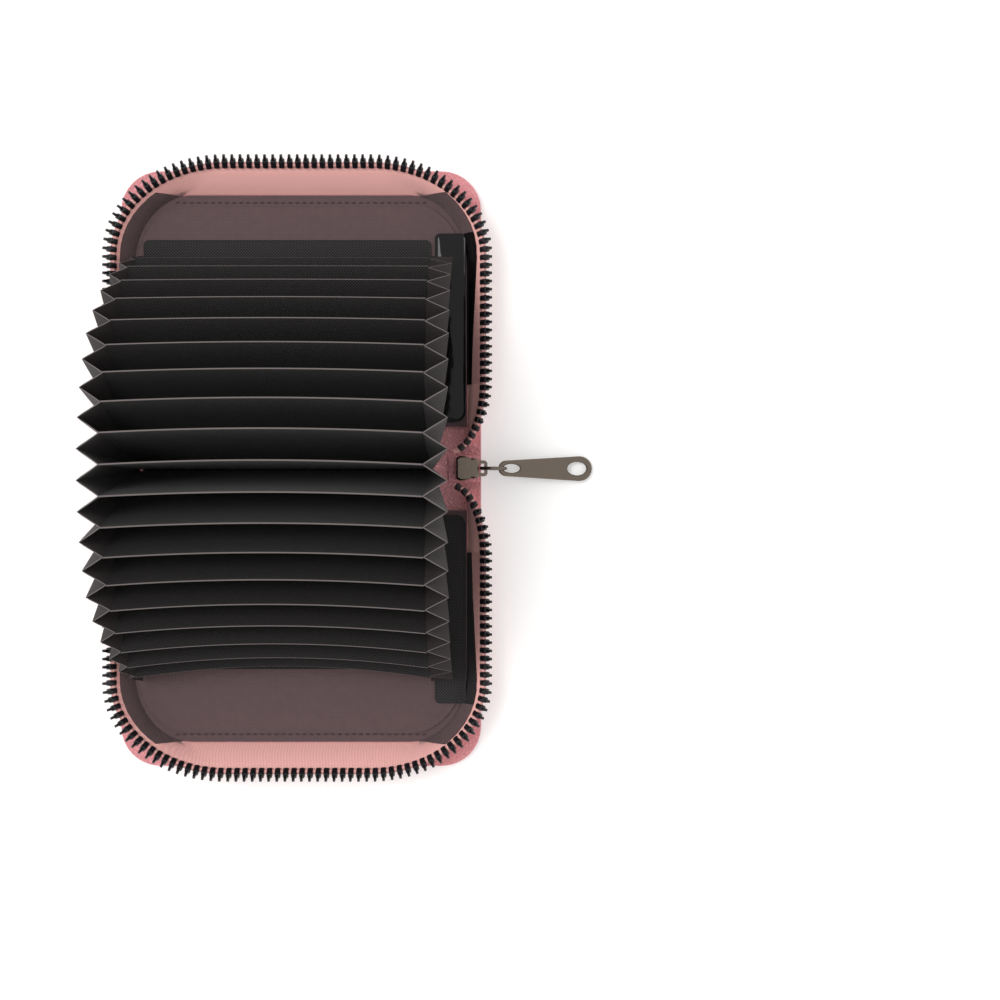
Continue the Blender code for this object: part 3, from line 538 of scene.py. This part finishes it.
def twill(name, ground, thread, repeat, dots):
    """Twill over a UV map laid out in shares of a leaf: diagonal ribs, or dots where two diagonals cross."""
    material, shader = new_finish(name, ground, 0.78, Sheen_Weight=0.08, Sheen_Roughness=0.4)
    uv = add(material, "ShaderNodeUVMap").outputs[0]
    scale = WAVE_REPEAT * 2 / (repeat / MM)
    diagonals = []
    for lean in (1, -1):
        in_mm = (lean * LEAF_LENGTH / MM, LEAF_DEPTH / MM, 0)
        flat = add(material, "ShaderNodeMapping", {"Vector": uv, "Scale": in_mm})
        ribs = add(
            material, "ShaderNodeTexWave", {"Vector": flat.outputs[0], "Scale": scale, "Distortion": 0.4},
            bands_direction="DIAGONAL",
        )
        diagonals.append(ribs.outputs["Fac"])
    both = add(
        material, "ShaderNodeMath", {0: diagonals[0], 1: diagonals[1] if dots else 1.0}, operation="MULTIPLY"
    )
    sharpness = 1.8 if dots else 1.0
    crossing = add(material, "ShaderNodeMath", {0: both.outputs[0], 1: sharpness}, operation="POWER")
    add_bump(material, shader, crossing.outputs[0], 0.09 * MM)
    add_tones(material, shader, crossing.outputs[0], hex_colour(ground), hex_colour(thread))
    return material


def lay_out(piece):
    """A UV map in shares of a leaf for a piece that lies along a cover, for twill of the true size."""
    layer = piece.data.uv_layers[0] if piece.data.uv_layers else piece.data.uv_layers.new(name="UVMap")
    for loop in piece.data.loops:
        place = piece.data.vertices[loop.vertex_index].co
        layer.data[loop.index].uv = ((place.x + place.z) / LEAF_LENGTH, place.y / LEAF_DEPTH)


def leaf_angle(index):
    """How far a leaf leans from the middle one. The outer leaves splay a little more."""
    return math.radians(LEAF_STEP * index * (1 + LEAF_SPLAY * (index / LEAVES_PER_SIDE) ** 4))


def leaf_root(index):
    """The middle of a leaf's bottom edge, on the crowned root band."""
    crown = ROOT_CROWN * (1 - (index / LEAVES_PER_SIDE) ** 2)
    return Vector((LEAF_SHIFT, index * LEAF_PITCH, LEAF_ROOT + crown))


def page_body(index):
    """The body a leaf turns with: the middle leaf belongs to the spine."""
    return "spine" if index == 0 else f"page_{index + 10:02d}"


def thicken(piece, thickness, offset=0, rim_material=0):
    """Gives a sheet its thickness, to both sides of its faces or, with an offset of 1, all to the outside."""
    modifier = piece.modifiers.new("cloth", "SOLIDIFY")
    modifier.thickness = thickness
    modifier.offset = offset
    modifier.material_offset_rim = rim_material
    apply_all(piece)


cloth = twill("black_twill", CLOTH_BLACK, CLOTH_THREAD, TWILL, dots=True)
edge_highlight_cloth, _ = new_finish("painted_edge_highlight", CLOTH_EDGE_HIGHLIGHT, 0.7)
for index in range(-LEAVES_PER_SIDE, LEAVES_PER_SIDE + 1):
    bow = MOUTH_BOW + FRONT_BOW * max(-index / LEAVES_PER_SIDE, 0) ** 2
    leaf = start(f"page_cloth_{index + 10:02d}", "grid", x_subdivisions=24, y_subdivisions=16, size=1)
    for vertex in leaf.data.vertices:
        across, up = vertex.co.x * 2, vertex.co.y + 0.5
        back = bow * (1 - across**2) * up**2
        along, lean = math.sin(leaf_angle(index)), math.cos(leaf_angle(index))
        rise = up * (LEAF_DEPTH - MOUTH_ALLOWANCE) + back * min(along, 0)
        vertex.co = (across * LEAF_LENGTH / 2, back * lean, rise)
    thicken(leaf, LEAF)
    for vertex in leaf.data.vertices:
        if vertex.co.z > LEAF_DEPTH * 0.94 and abs(vertex.normal.y) > 0.3:
            vertex.co.y += math.copysign(EDGE_SWELL, vertex.normal.y)
    leaf.data.materials.append(cloth)
    leaf.data.materials.append(edge_highlight_cloth)
    # Up-facing faces at each mouth take the paler colour: painted highlight.
    for face in leaf.data.polygons:
        if abs(face.normal.z) > 0.7 and face.center.z > LEAF_DEPTH * 0.9:
            face.material_index = 1
    leaf.data.transform(Matrix.Translation(leaf_root(index)) @ Matrix.Rotation(-leaf_angle(index), 4, "X"))
    smooth(leaf, 45)
    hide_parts(f"leaf_{index + 10:02d}")
    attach(leaf, page_body(index))

# Gussets: the same black cloth, pleated between each two leaves at both ends and sewn to their edges.
# Each pleat folds out to a point at the mouth and dies away at the root.
GUSSET_OUT = 6.6 * MM
LEFT_GUSSET_OUT = 6 * MM
OUTER_PLEAT_OUT = 2.9 * MM
PLEAT_GROWTH = 0.65 * MM
PLEAT_FLARE = 0.85
PLEAT_SHARPNESS = 1.12
PLEAT_SAG = 0.12
PLEAT_STEPS = 8
PLEAT_IN_LEAF = 0.16
GUSSET_START = 1.2 * MM
GUSSET_TOP_DROP = 0.6 * MM
GUSSET_ON_COVER = 50.5 * MM
GUSSET_SEAM = 0.1 * MM
GUSSET = 0.3 * MM
GUSSET_TWILL = 0.6 * MM
GUSSET_BROWN = "1D1817"
GUSSET_RIB = "352D2C"
COVER_PANEL_START = CREASE_Y + 2.6 * MM
COVER_PANEL_TOP = 4.2 * MM
ENDS = ((1, "right"), (-1, "left"))


def fold_line(index):
    """The lower and upper end of a leaf's edge, in the plane across the spine. The tenth is on the cover."""
    if abs(index) <= LEAVES_PER_SIDE:
        angle = leaf_angle(index)
        out = Vector((0, math.sin(angle), math.cos(angle)))
        return leaf_root(index) + out * GUSSET_START, leaf_root(index) + out * (LEAF_DEPTH - GUSSET_TOP_DROP)
    side = 1 if index > 0 else -1
    low = Vector((LEAF_SHIFT, side * COVER_PANEL_START, COVER_PANEL_TOP))
    return low, low + Vector((0, side * GUSSET_ON_COVER, 0))


def grid_faces(rows, columns):
    """The faces of a grid whose points run along its columns first."""
    corners = [row * (columns + 1) + column for row in range(rows) for column in range(columns)]
    return [(n, n + 1, n + columns + 2, n + columns + 1) for n in corners]


def pleat_points(near, far, edge_x, reach_out):
    """The points of a pleat between two leaves, from root to mouth. Its faces sag in a little."""
    points = []
    for level in range(PLEAT_STEPS + 1):
        share = level / PLEAT_STEPS
        a, b = near[0].lerp(near[1], share), far[0].lerp(far[1], share)
        for step in range(PLEAT_STEPS + 1):
            across = step / PLEAT_STEPS
            flare = 1 - PLEAT_FLARE + PLEAT_FLARE * share
            reach = reach_out * flare * (1 - abs(2 * across - 1) ** PLEAT_SHARPNESS)
            point = a.lerp(b, across).lerp((a + b) / 2, PLEAT_SAG * math.sin(math.pi * across))
            points.append((edge_x + reach, point.y, point.z))
    return points


gusset_cloth = twill("gusset_twill", GUSSET_BROWN, GUSSET_RIB, GUSSET_TWILL, dots=False)
for end, end_name in ENDS:
    for side, side_name in COVERS:
        for step in range(LEAVES_PER_SIDE + 1):
            near, far = fold_line(side * step), fold_line(side * (step + 1))
            edge_x = LEAF_SHIFT + end * (LEAF_LENGTH / 2 + GUSSET_SEAM)
            # On the left the outer pleats are shallower, so that the closed wallet's tape goes round them.
            room = OUTER_PLEAT_OUT + PLEAT_GROWTH * (LEAVES_PER_SIDE - step)
            pleat_out = GUSSET_OUT if end > 0 else min(LEFT_GUSSET_OUT, room)
            mesh = bpy.data.meshes.new("pleat")
            points = pleat_points(near, far, edge_x, end * pleat_out)
            mesh.from_pydata(points, [], grid_faces(PLEAT_STEPS, PLEAT_STEPS))
            layer = mesh.uv_layers.new(name="UVMap")
            for loop in mesh.loops:
                level, across = divmod(loop.vertex_index, PLEAT_STEPS + 1)
                layer.data[loop.index].uv = (across / PLEAT_STEPS * PLEAT_IN_LEAF, level / PLEAT_STEPS)
            pleat = place_new(f"{side_name}_{end_name}_pleat_{step + 1:02d}", mesh)
            pleat.data.materials.append(gusset_cloth)
            # The pleat's cut rim takes the paler colour: painted highlight.
            pleat.data.materials.append(edge_highlight_cloth)
            thicken(pleat, GUSSET, rim_material=1)
            smooth(pleat, 40)
            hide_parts(f"{end_name}_gusset")
            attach(pleat, page_body(side * step))
            angle = leaf_angle(side * step)
            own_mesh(pleat)

# End panels and side pockets: the accordion's last cloth is glued to each cover.
# Beside it lie a clear vinyl window over black card on the back cover, and a cloth pocket on the front.
PANEL_BASE = 3.35 * MM
PANEL_START = 2.6 * MM
PANEL_HALF = 43.8 * MM
PANEL_FAR = {"back": 58 * MM, "front": 49.5 * MM}
PANEL_CORNER = 1.5 * MM
PANEL = 0.35 * MM
POCKET_SPAN = (41 * MM, 50.4 * MM)
POCKET_FAR = 60 * MM
POCKET_NEAR_CORNER = 3 * MM
BORDER_WIDTH = 0.25 * MM
BORDER_DEPTH = 0.08 * MM
VINYL_BLACK = "141113"


def clear_vinyl():
    """Plasticised vinyl over black: smooth and glossy, with the broad slack waves of a soft sheet."""
    material, shader = new_finish("clear_vinyl_over_black", VINYL_BLACK, 0.12, Specular_IOR_Level=0.25)
    place = add(material, "ShaderNodeTexCoord").outputs["Object"]
    waves = add(material, "ShaderNodeTexNoise", {"Vector": place, "Scale": 90, "Detail": 2})
    add_bump(material, shader, waves.outputs[0], 1.2 * MM)
    return material


vinyl = clear_vinyl()
for side, cover in COVERS:
    for name, low_x, high_x, far, near_corner, finish in (
        ("end_panel", LEAF_SHIFT - PANEL_HALF, LEAF_SHIFT + PANEL_HALF, PANEL_FAR[cover], 0, cloth),
        ("side_pocket", *POCKET_SPAN, POCKET_FAR, POCKET_NEAR_CORNER, vinyl if side > 0 else cloth),
    ):
        panel = rounded_sheet(
            f"{cover}_{name}_cloth", (high_x - low_x) / 2, CREASE_Y + PANEL_START, CREASE_Y + far,
            PANEL_CORNER, PANEL_BASE, PANEL, 4, near_corner=near_corner,
        )
        pick(panel, lambda p, n: n.z > 0.5)
        bpy.ops.mesh.inset(thickness=2 * BORDER_WIDTH)
        bpy.ops.mesh.inset(thickness=BORDER_WIDTH, depth=-BORDER_DEPTH)
        bpy.ops.mesh.inset(thickness=BORDER_WIDTH, depth=BORDER_DEPTH)
        settle(panel)
        panel.data.transform(Matrix.Translation(((high_x + low_x) / 2, 0, 0)))
        lay_out(panel)
        on_side(panel, side).data.materials.append(finish)
        smooth(panel, 50)
        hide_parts(f"{cover}_{name}")
        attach(panel, f"{cover}_cover")

# Zip tapes and tails: pink polyester tape woven in close ribs, sewn in beside the lining.
# It stands up and leans out to the teeth. At the spine its four tails curve in to the slider and the end box.
TAPE_PINK = "FFC0B9"
TAPE_SHADE = "F5ACA6"


def woven_tape():
    """Woven zip tape: fine diagonal ribs, matt, slightly fuzzy and paler than the leather."""
    material, shader = new_finish("woven_tape", TAPE_PINK, 0.85, Sheen_Weight=0.2)
    place = add(material, "ShaderNodeTexCoord").outputs["Object"]
    rib = add(
        material, "ShaderNodeTexWave", {"Vector": place, "Scale": 700, "Distortion": 0.3},
        bands_direction="DIAGONAL",
    )
    fuzz = add(material, "ShaderNodeTexNoise", {"Vector": place, "Scale": 1500, "Detail": 3})
    relief = add(
        material, "ShaderNodeMath", {0: fuzz.outputs[0], 1: 0.7, 2: rib.outputs[0]}, operation="MULTIPLY_ADD"
    )
    add_bump(material, shader, relief.outputs[0], 0.1 * MM)
    add_tones(material, shader, relief.outputs[0], hex_colour(TAPE_SHADE), hex_colour(TAPE_PINK))
    return material


def copy_of(node, name, levels=0):
    """A copy of a CAD solid with its corners merged, so that it can be softened."""
    made = place_new(name, nodes[node].data.copy())
    made.matrix_world = nodes[node].matrix_world.copy()
    made.data.materials.clear()
    select_only(made)
    bpy.ops.object.mode_set(mode="EDIT")
    bpy.ops.mesh.select_all(action="SELECT")
    bpy.ops.mesh.remove_doubles(threshold=1e-6)
    bpy.ops.mesh.tris_convert_to_quads(face_threshold=math.radians(30), shape_threshold=math.radians(60))
    if levels:
        bpy.ops.mesh.subdivide(number_cuts=levels, smoothness=0)
    settle(made)
    return made


tape_cloth = woven_tape()
for _, cover in COVERS:
    band = copy_of(f"{cover}_zip_tape", f"{cover}_tape_cloth", 1)
    band.data.materials.append(tape_cloth)
    smooth(band, 60)
    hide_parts(f"{cover}_zip_tape")
    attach(band, f"{cover}_cover")

# Lining edges: at both ends and round the corners the lining goes up the inside of the tape to its seam under
# the teeth. Along the fore edge it stops at its hem. Beside the side pocket it is the pocket's own edge.
EDGE_CLOTH = 0.3 * MM
EDGE_GAP = 0.02 * MM
EDGE_TOP = 7.5 * MM
POCKET_EDGE_TOP = 4.6 * MM
ROW_START = CREASE_Y + 14 * MM
TAPE_MIDDLE = CREASE_Y + 35 * MM


def keep_below(place, normal):
    """In edit mode, cuts a sheet along a plane and keeps what lies behind the plane's normal."""
    bpy.ops.mesh.select_all(action="SELECT")
    bpy.ops.mesh.bisect(plane_co=place, plane_no=normal, clear_outer=True)


for side, cover in COVERS:
    fore = CREASE_Y + LINING_REACH
    pocket_end = CREASE_Y + POCKET_FAR
    pocket_finish = vinyl if side > 0 else cloth
    for name, end, near, far, finish in (
        ("left", -1, 0, fore, lining_cloth), ("right", 1, pocket_end, fore, lining_cloth),
        ("pocket", 1, 0, pocket_end, pocket_finish),
    ):
        edge = copy_of(f"{cover}_zip_tape", f"{cover}_{name}_lining_edge", 1)
        pick(edge, lambda p, n: abs(n.z) < 0.9 and n.dot(Vector((-p.x, side * TAPE_MIDDLE - p.y, 0))) > 0)
        bpy.ops.mesh.select_all(action="INVERT")
        bpy.ops.mesh.delete(type="FACE")
        keep_below((end * 30 * MM, 0, 0), (-end, 0, 0))
        keep_below((0, side * far, 0), (0, side, 0))
        keep_below((0, side * near, 0), (0, -side, 0))
        rise = (EDGE_TOP - POCKET_EDGE_TOP) / (pocket_end - ROW_START) if end > 0 else 0
        keep_below((0, side * pocket_end, EDGE_TOP), (0, -side * rise, 1))
        bpy.ops.mesh.select_all(action="SELECT")
        bpy.ops.transform.shrink_fatten(value=EDGE_GAP)
        bpy.ops.object.mode_set(mode="OBJECT")
        lay_out(edge)
        thicken(edge, EDGE_CLOTH, offset=1)
        edge.data.materials.append(finish)
        smooth(edge, 50)
        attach(edge, f"{cover}_cover")

# Zip teeth: black acetal moulded onto a cord of pink polyester along the tape's edge, one every 2.45 mm.
# A tooth has a rounded body round the cord and a narrower tip, which locks between teeth of the other row.
ROW_HALF = 55.9 * MM
ROW_FORE = CREASE_Y + 79.9 * MM
ROW_CORNER_X = 34 * MM
ROW_CORNER_Y = 27 * MM
ROW_LEVEL = 9.3 * MM
ROW_LEAN = math.radians(36.5)
TOOTH_PITCH = 2.45 * MM
TOOTH_SIZE = (1.75 * MM, 2.1 * MM, 2.8 * MM)
TOOTH_LIFT = 0.5 * MM
TOOTH_ROUNDING = 0.42 * MM
TOOTH_TIP = 1.85 * MM
TIP_ROUNDING = 0.12 * MM
CORD = 1.5 * MM
SLIDER_MOUTH = Vector((46.9 * MM, 5.2 * MM, 6.6 * MM))
END_BOX_MOUTH = Vector((-53.3 * MM, 4.3 * MM, 9.85 * MM))
SEAM_HALF = 51.3 * MM
SEAM_END = 6.8 * MM
SEAM_LEVEL = 2.1 * MM
ACETAL_BLACK = "17161A"
CORD_SEAT = 0.6 * MM
TAIL_FREE = 0.6 * MM
TAIL_CLOTH = 0.5 * MM
TAIL_SLACK = 0.5 * MM


def moulded_plastic():
    """Moulded acetal: dense black plastic with a soft gloss and faint flow marks."""
    material, shader = new_finish("moulded_acetal", ACETAL_BLACK, 0.32)
    place = add(material, "ShaderNodeTexCoord").outputs["Object"]
    marks = add(material, "ShaderNodeTexNoise", {"Vector": place, "Scale": 900, "Detail": 2})
    add_bump(material, shader, marks.outputs[0], 0.05 * MM, 0.4)
    return material


def row_line():
    """Close places along the back row, from its +X end, each with the way that a tooth points there."""
    middle_x, middle_y = ROW_HALF - ROW_CORNER_X, ROW_FORE - ROW_CORNER_Y
    half = [(ROW_HALF, ROW_START + (middle_y - ROW_START) * n / 60, 0) for n in range(60)]
    for n in range(121):
        angle = math.radians(90 * n / 120)
        x, y = middle_x + ROW_CORNER_X * math.cos(angle), middle_y + ROW_CORNER_Y * math.sin(angle)
        half.append((x, y, angle))
    half += [(middle_x * (1 - n / 30), ROW_FORE, math.pi / 2) for n in range(1, 31)]
    line = []
    for x, y, angle in half:
        out = Vector((ROW_CORNER_Y * math.cos(angle), ROW_CORNER_X * math.sin(angle), 0)).normalized()
        tooth = out * math.sin(ROW_LEAN) + Vector((0, 0, math.cos(ROW_LEAN)))
        line.append((Vector((x, y, ROW_LEVEL)), tooth))
    flip = Vector((-1, 1, 1))
    return line + [(flip * place, flip * tooth) for place, tooth in reversed(line[:-1])]


def tail_line(end):
    """The same for the back row's tail at one end, as a Bezier curve that two pulls bend: it goes in to the
    slider's mouth, or up and then down into the end box."""
    first = Vector((end * ROW_HALF, ROW_START, ROW_LEVEL))
    if end > 0:
        last = SLIDER_MOUTH
        pulls = first + Vector((0, -9 * MM, 0.8 * MM)), last + Vector((5.5 * MM, 1.5 * MM, 1 * MM))
        turned = Vector((0, 0, 1))
    else:
        last = END_BOX_MOUTH
        pulls = first + Vector((0, -9 * MM, 1.5 * MM)), last + Vector((0, 2.5 * MM, 7 * MM))
        turned = Vector((0, -1, 0))
    leaning = Vector((end * math.sin(ROW_LEAN), 0, math.cos(ROW_LEAN)))
    line = []
    for n in range(81):
        t = n / 80
        place = first * (1 - t) ** 3 + pulls[0] * 3 * t * (1 - t) ** 2
        place += pulls[1] * 3 * t**2 * (1 - t) + last * t**3
        line.append((place, leaning.lerp(turned, t * t * (3 - 2 * t)).normalized()))
    return line


def line_length(line):
    """The length along such places."""
    return sum((b[0] - a[0]).length for a, b in zip(line, line[1:]))


def stations(line, distances):
    """A matrix at each distance along a line: X runs along it, and Z is the way that a tooth points."""
    found = []
    passed, n = 0.0, 0
    for distance in distances:
        while n < len(line) - 2 and passed + (line[n + 1][0] - line[n][0]).length < distance:
            passed += (line[n + 1][0] - line[n][0]).length
            n += 1
        (a, tooth_a), (b, tooth_b) = line[n], line[n + 1]
        along = (b - a).normalized()
        share = (distance - passed) / (b - a).length
        tooth = tooth_a.lerp(tooth_b, share)
        tooth = (tooth - along * tooth.dot(along)).normalized()
        turn = Matrix((along, tooth.cross(along), tooth)).transposed().to_4x4()
        found.append(Matrix.Translation(a.lerp(b, share)) @ turn)
    return found


def one_tooth():
    """A tooth with its tip up: a cube with rounded edges, and its top drawn up into a tapered tip."""
    tooth = start("tooth", "cube", size=1)
    tooth.scale = TOOTH_SIZE
    tooth.location = (0, 0, TOOTH_LIFT)
    settle(tooth)
    pick(tooth, lambda p, n: True, "EDGE")
    bpy.ops.mesh.bevel(offset=TOOTH_ROUNDING, segments=2, affect="EDGES")
    pick(tooth, lambda p, n: n.z > 0.99)
    bpy.ops.mesh.extrude_region_move(TRANSFORM_OT_translate={"value": (0, 0, TOOTH_TIP)})
    bpy.ops.transform.resize(value=(0.8, 0.75, 1), center_override=(0, 0, 0))
    bpy.ops.mesh.bevel(offset=TIP_ROUNDING, segments=2, affect="EDGES")
    settle(tooth)
    return tooth


def corded(name, line):
    """A round cord along a line: a curve with thickness, turned into a mesh."""
    curve = bpy.data.curves.new(name, "CURVE")
    curve.dimensions = "3D"
    curve.bevel_depth = CORD / 2
    curve.bevel_resolution = 2
    curve.use_fill_caps = True
    spline = curve.splines.new("POLY")
    spline.points.add(len(line) - 1)
    for target, (place, _) in zip(spline.points, line):
        target.co = (*place, 1)
    select_only(place_new(name, curve))
    bpy.ops.object.convert(target="MESH")
    return bpy.context.object


def tail_web(name, end, line):
    """The tape under a tail: a strip from the seam up to the cord, a little slack in the middle. It runs
    along the first seven tenths of the tail."""
    count, levels = 16, 6
    points = []
    for n in range(count + 1):
        place, tooth = line[round(0.7 * (len(line) - 1) * n / count)]
        share = n / count
        seam = Vector((end * SEAM_HALF, (1 - share) * ROW_START + share * SEAM_END, SEAM_LEVEL))
        for level in range(levels + 1):
            point = seam.lerp(place - tooth * CORD_SEAT, level / levels)
            point.x -= end * TAIL_SLACK * math.sin(math.pi * level / levels)
            points.append(point)
    mesh = bpy.data.meshes.new(name)
    mesh.from_pydata(points, [], grid_faces(count, levels))
    made = place_new(name, mesh)
    thicken(made, TAIL_CLOTH)
    return made


acetal = moulded_plastic()
for side, cover in COVERS:
    line = row_line()
    total = line_length(line)
    phase = 0 if side > 0 else TOOTH_PITCH / 2
    first = (total / 2 - phase) % TOOTH_PITCH
    count = int((total - 2 * first) / TOOTH_PITCH + 0.5)
    distances = [first + n * TOOTH_PITCH for n in range(count + 1)]
    row = sew(f"{cover}_tooth_row", one_tooth(), stations(line, distances))
    row_cord = corded(f"{cover}_tape_cord", line)
    for piece, finish, kind in ((row, acetal, "teeth"), (row_cord, tape_cloth, "tape")):
        on_side(piece, side).data.materials.append(finish)
        smooth(piece, 40)
        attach(piece, f"{cover}_cover")
    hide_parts(f"{cover}_zip_teeth")
    for end, end_name in ENDS:
        line = tail_line(end)
        room = line_length(line) - TAIL_FREE
        count = int((room - TOOTH_PITCH + first) / TOOTH_PITCH)
        distances = [TOOTH_PITCH - first + n * TOOTH_PITCH for n in range(count + 1)]
        name = f"{cover}_{end_name}_tail"
        tail = sew(f"{name}_tooth_row", one_tooth(), stations(line, distances))
        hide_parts(f"{name}_teeth")
        web = tail_web(f"{name}_cloth", end, line)
        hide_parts(f"{name}_tape")
        tail_cord = corded(f"{name}_cord", line)
        for piece, finish, kind in (
            (tail, acetal, "teeth"), (web, tape_cloth, "tape"), (tail_cord, tape_cloth, "tape"),
        ):
            on_side(piece, side).data.materials.append(finish)
            smooth(piece, 40)
            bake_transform(piece)

# Slider, ring, pull tab and end box: die-cast zinc, tumbled smooth and plated gunmetal.
# The CAD solids are shown as they are, and only the plating is added.
GUNMETAL = "756B61"


def gunmetal_plate():
    """Gunmetal plating: a dark warm metal with a soft reflection, a little cloudy from tumbling."""
    material, shader = new_finish("gunmetal_plate", GUNMETAL, 0.27, 1.0)
    place = add(material, "ShaderNodeTexCoord").outputs["Object"]
    cloud = add(material, "ShaderNodeTexNoise", {"Vector": place, "Scale": 500, "Detail": 4})
    rough = add(material, "ShaderNodeMapRange", {"Value": cloud.outputs[0], "To Min": 0.2, "To Max": 0.36})
    material.node_tree.links.new(rough.outputs[0], shader.inputs["Roughness"])
    add_bump(material, shader, cloud.outputs[0], 0.02 * MM, 0.3)
    return material


gunmetal = gunmetal_plate()
for name in ("slider_body", "slider_bridge", "pull_ring", "pull_tab", "zip_end_box"):
    nodes[name].data.materials.clear()
    nodes[name].data.materials.append(gunmetal)

# Spine lining, root band and anchor tabs: the strip of pink facing inside the spine, the glued cloth band
# that the leaves stand on, and the two folded leather tabs that hold the zip's ends.
TRIM_SOFT = 0.12 * MM
for node, finish, slot_name in (
    ("spine_lining", leather, "lining"), ("accordion_root_band", cloth, "accordion"),
    ("slider_anchor_tab", leather, "leather"), ("end_box_anchor_tab", leather, "leather"),
):
    trim = copy_of(node, f"{node}_soft")
    modifier = trim.modifiers.new("soft", "BEVEL")
    modifier.width = TRIM_SOFT
    modifier.segments = 2
    modifier.limit_method = "ANGLE"
    apply_all(trim)
    trim.data.materials.append(finish)
    smooth(trim, 50)
    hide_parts(node)
    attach(trim, "spine")
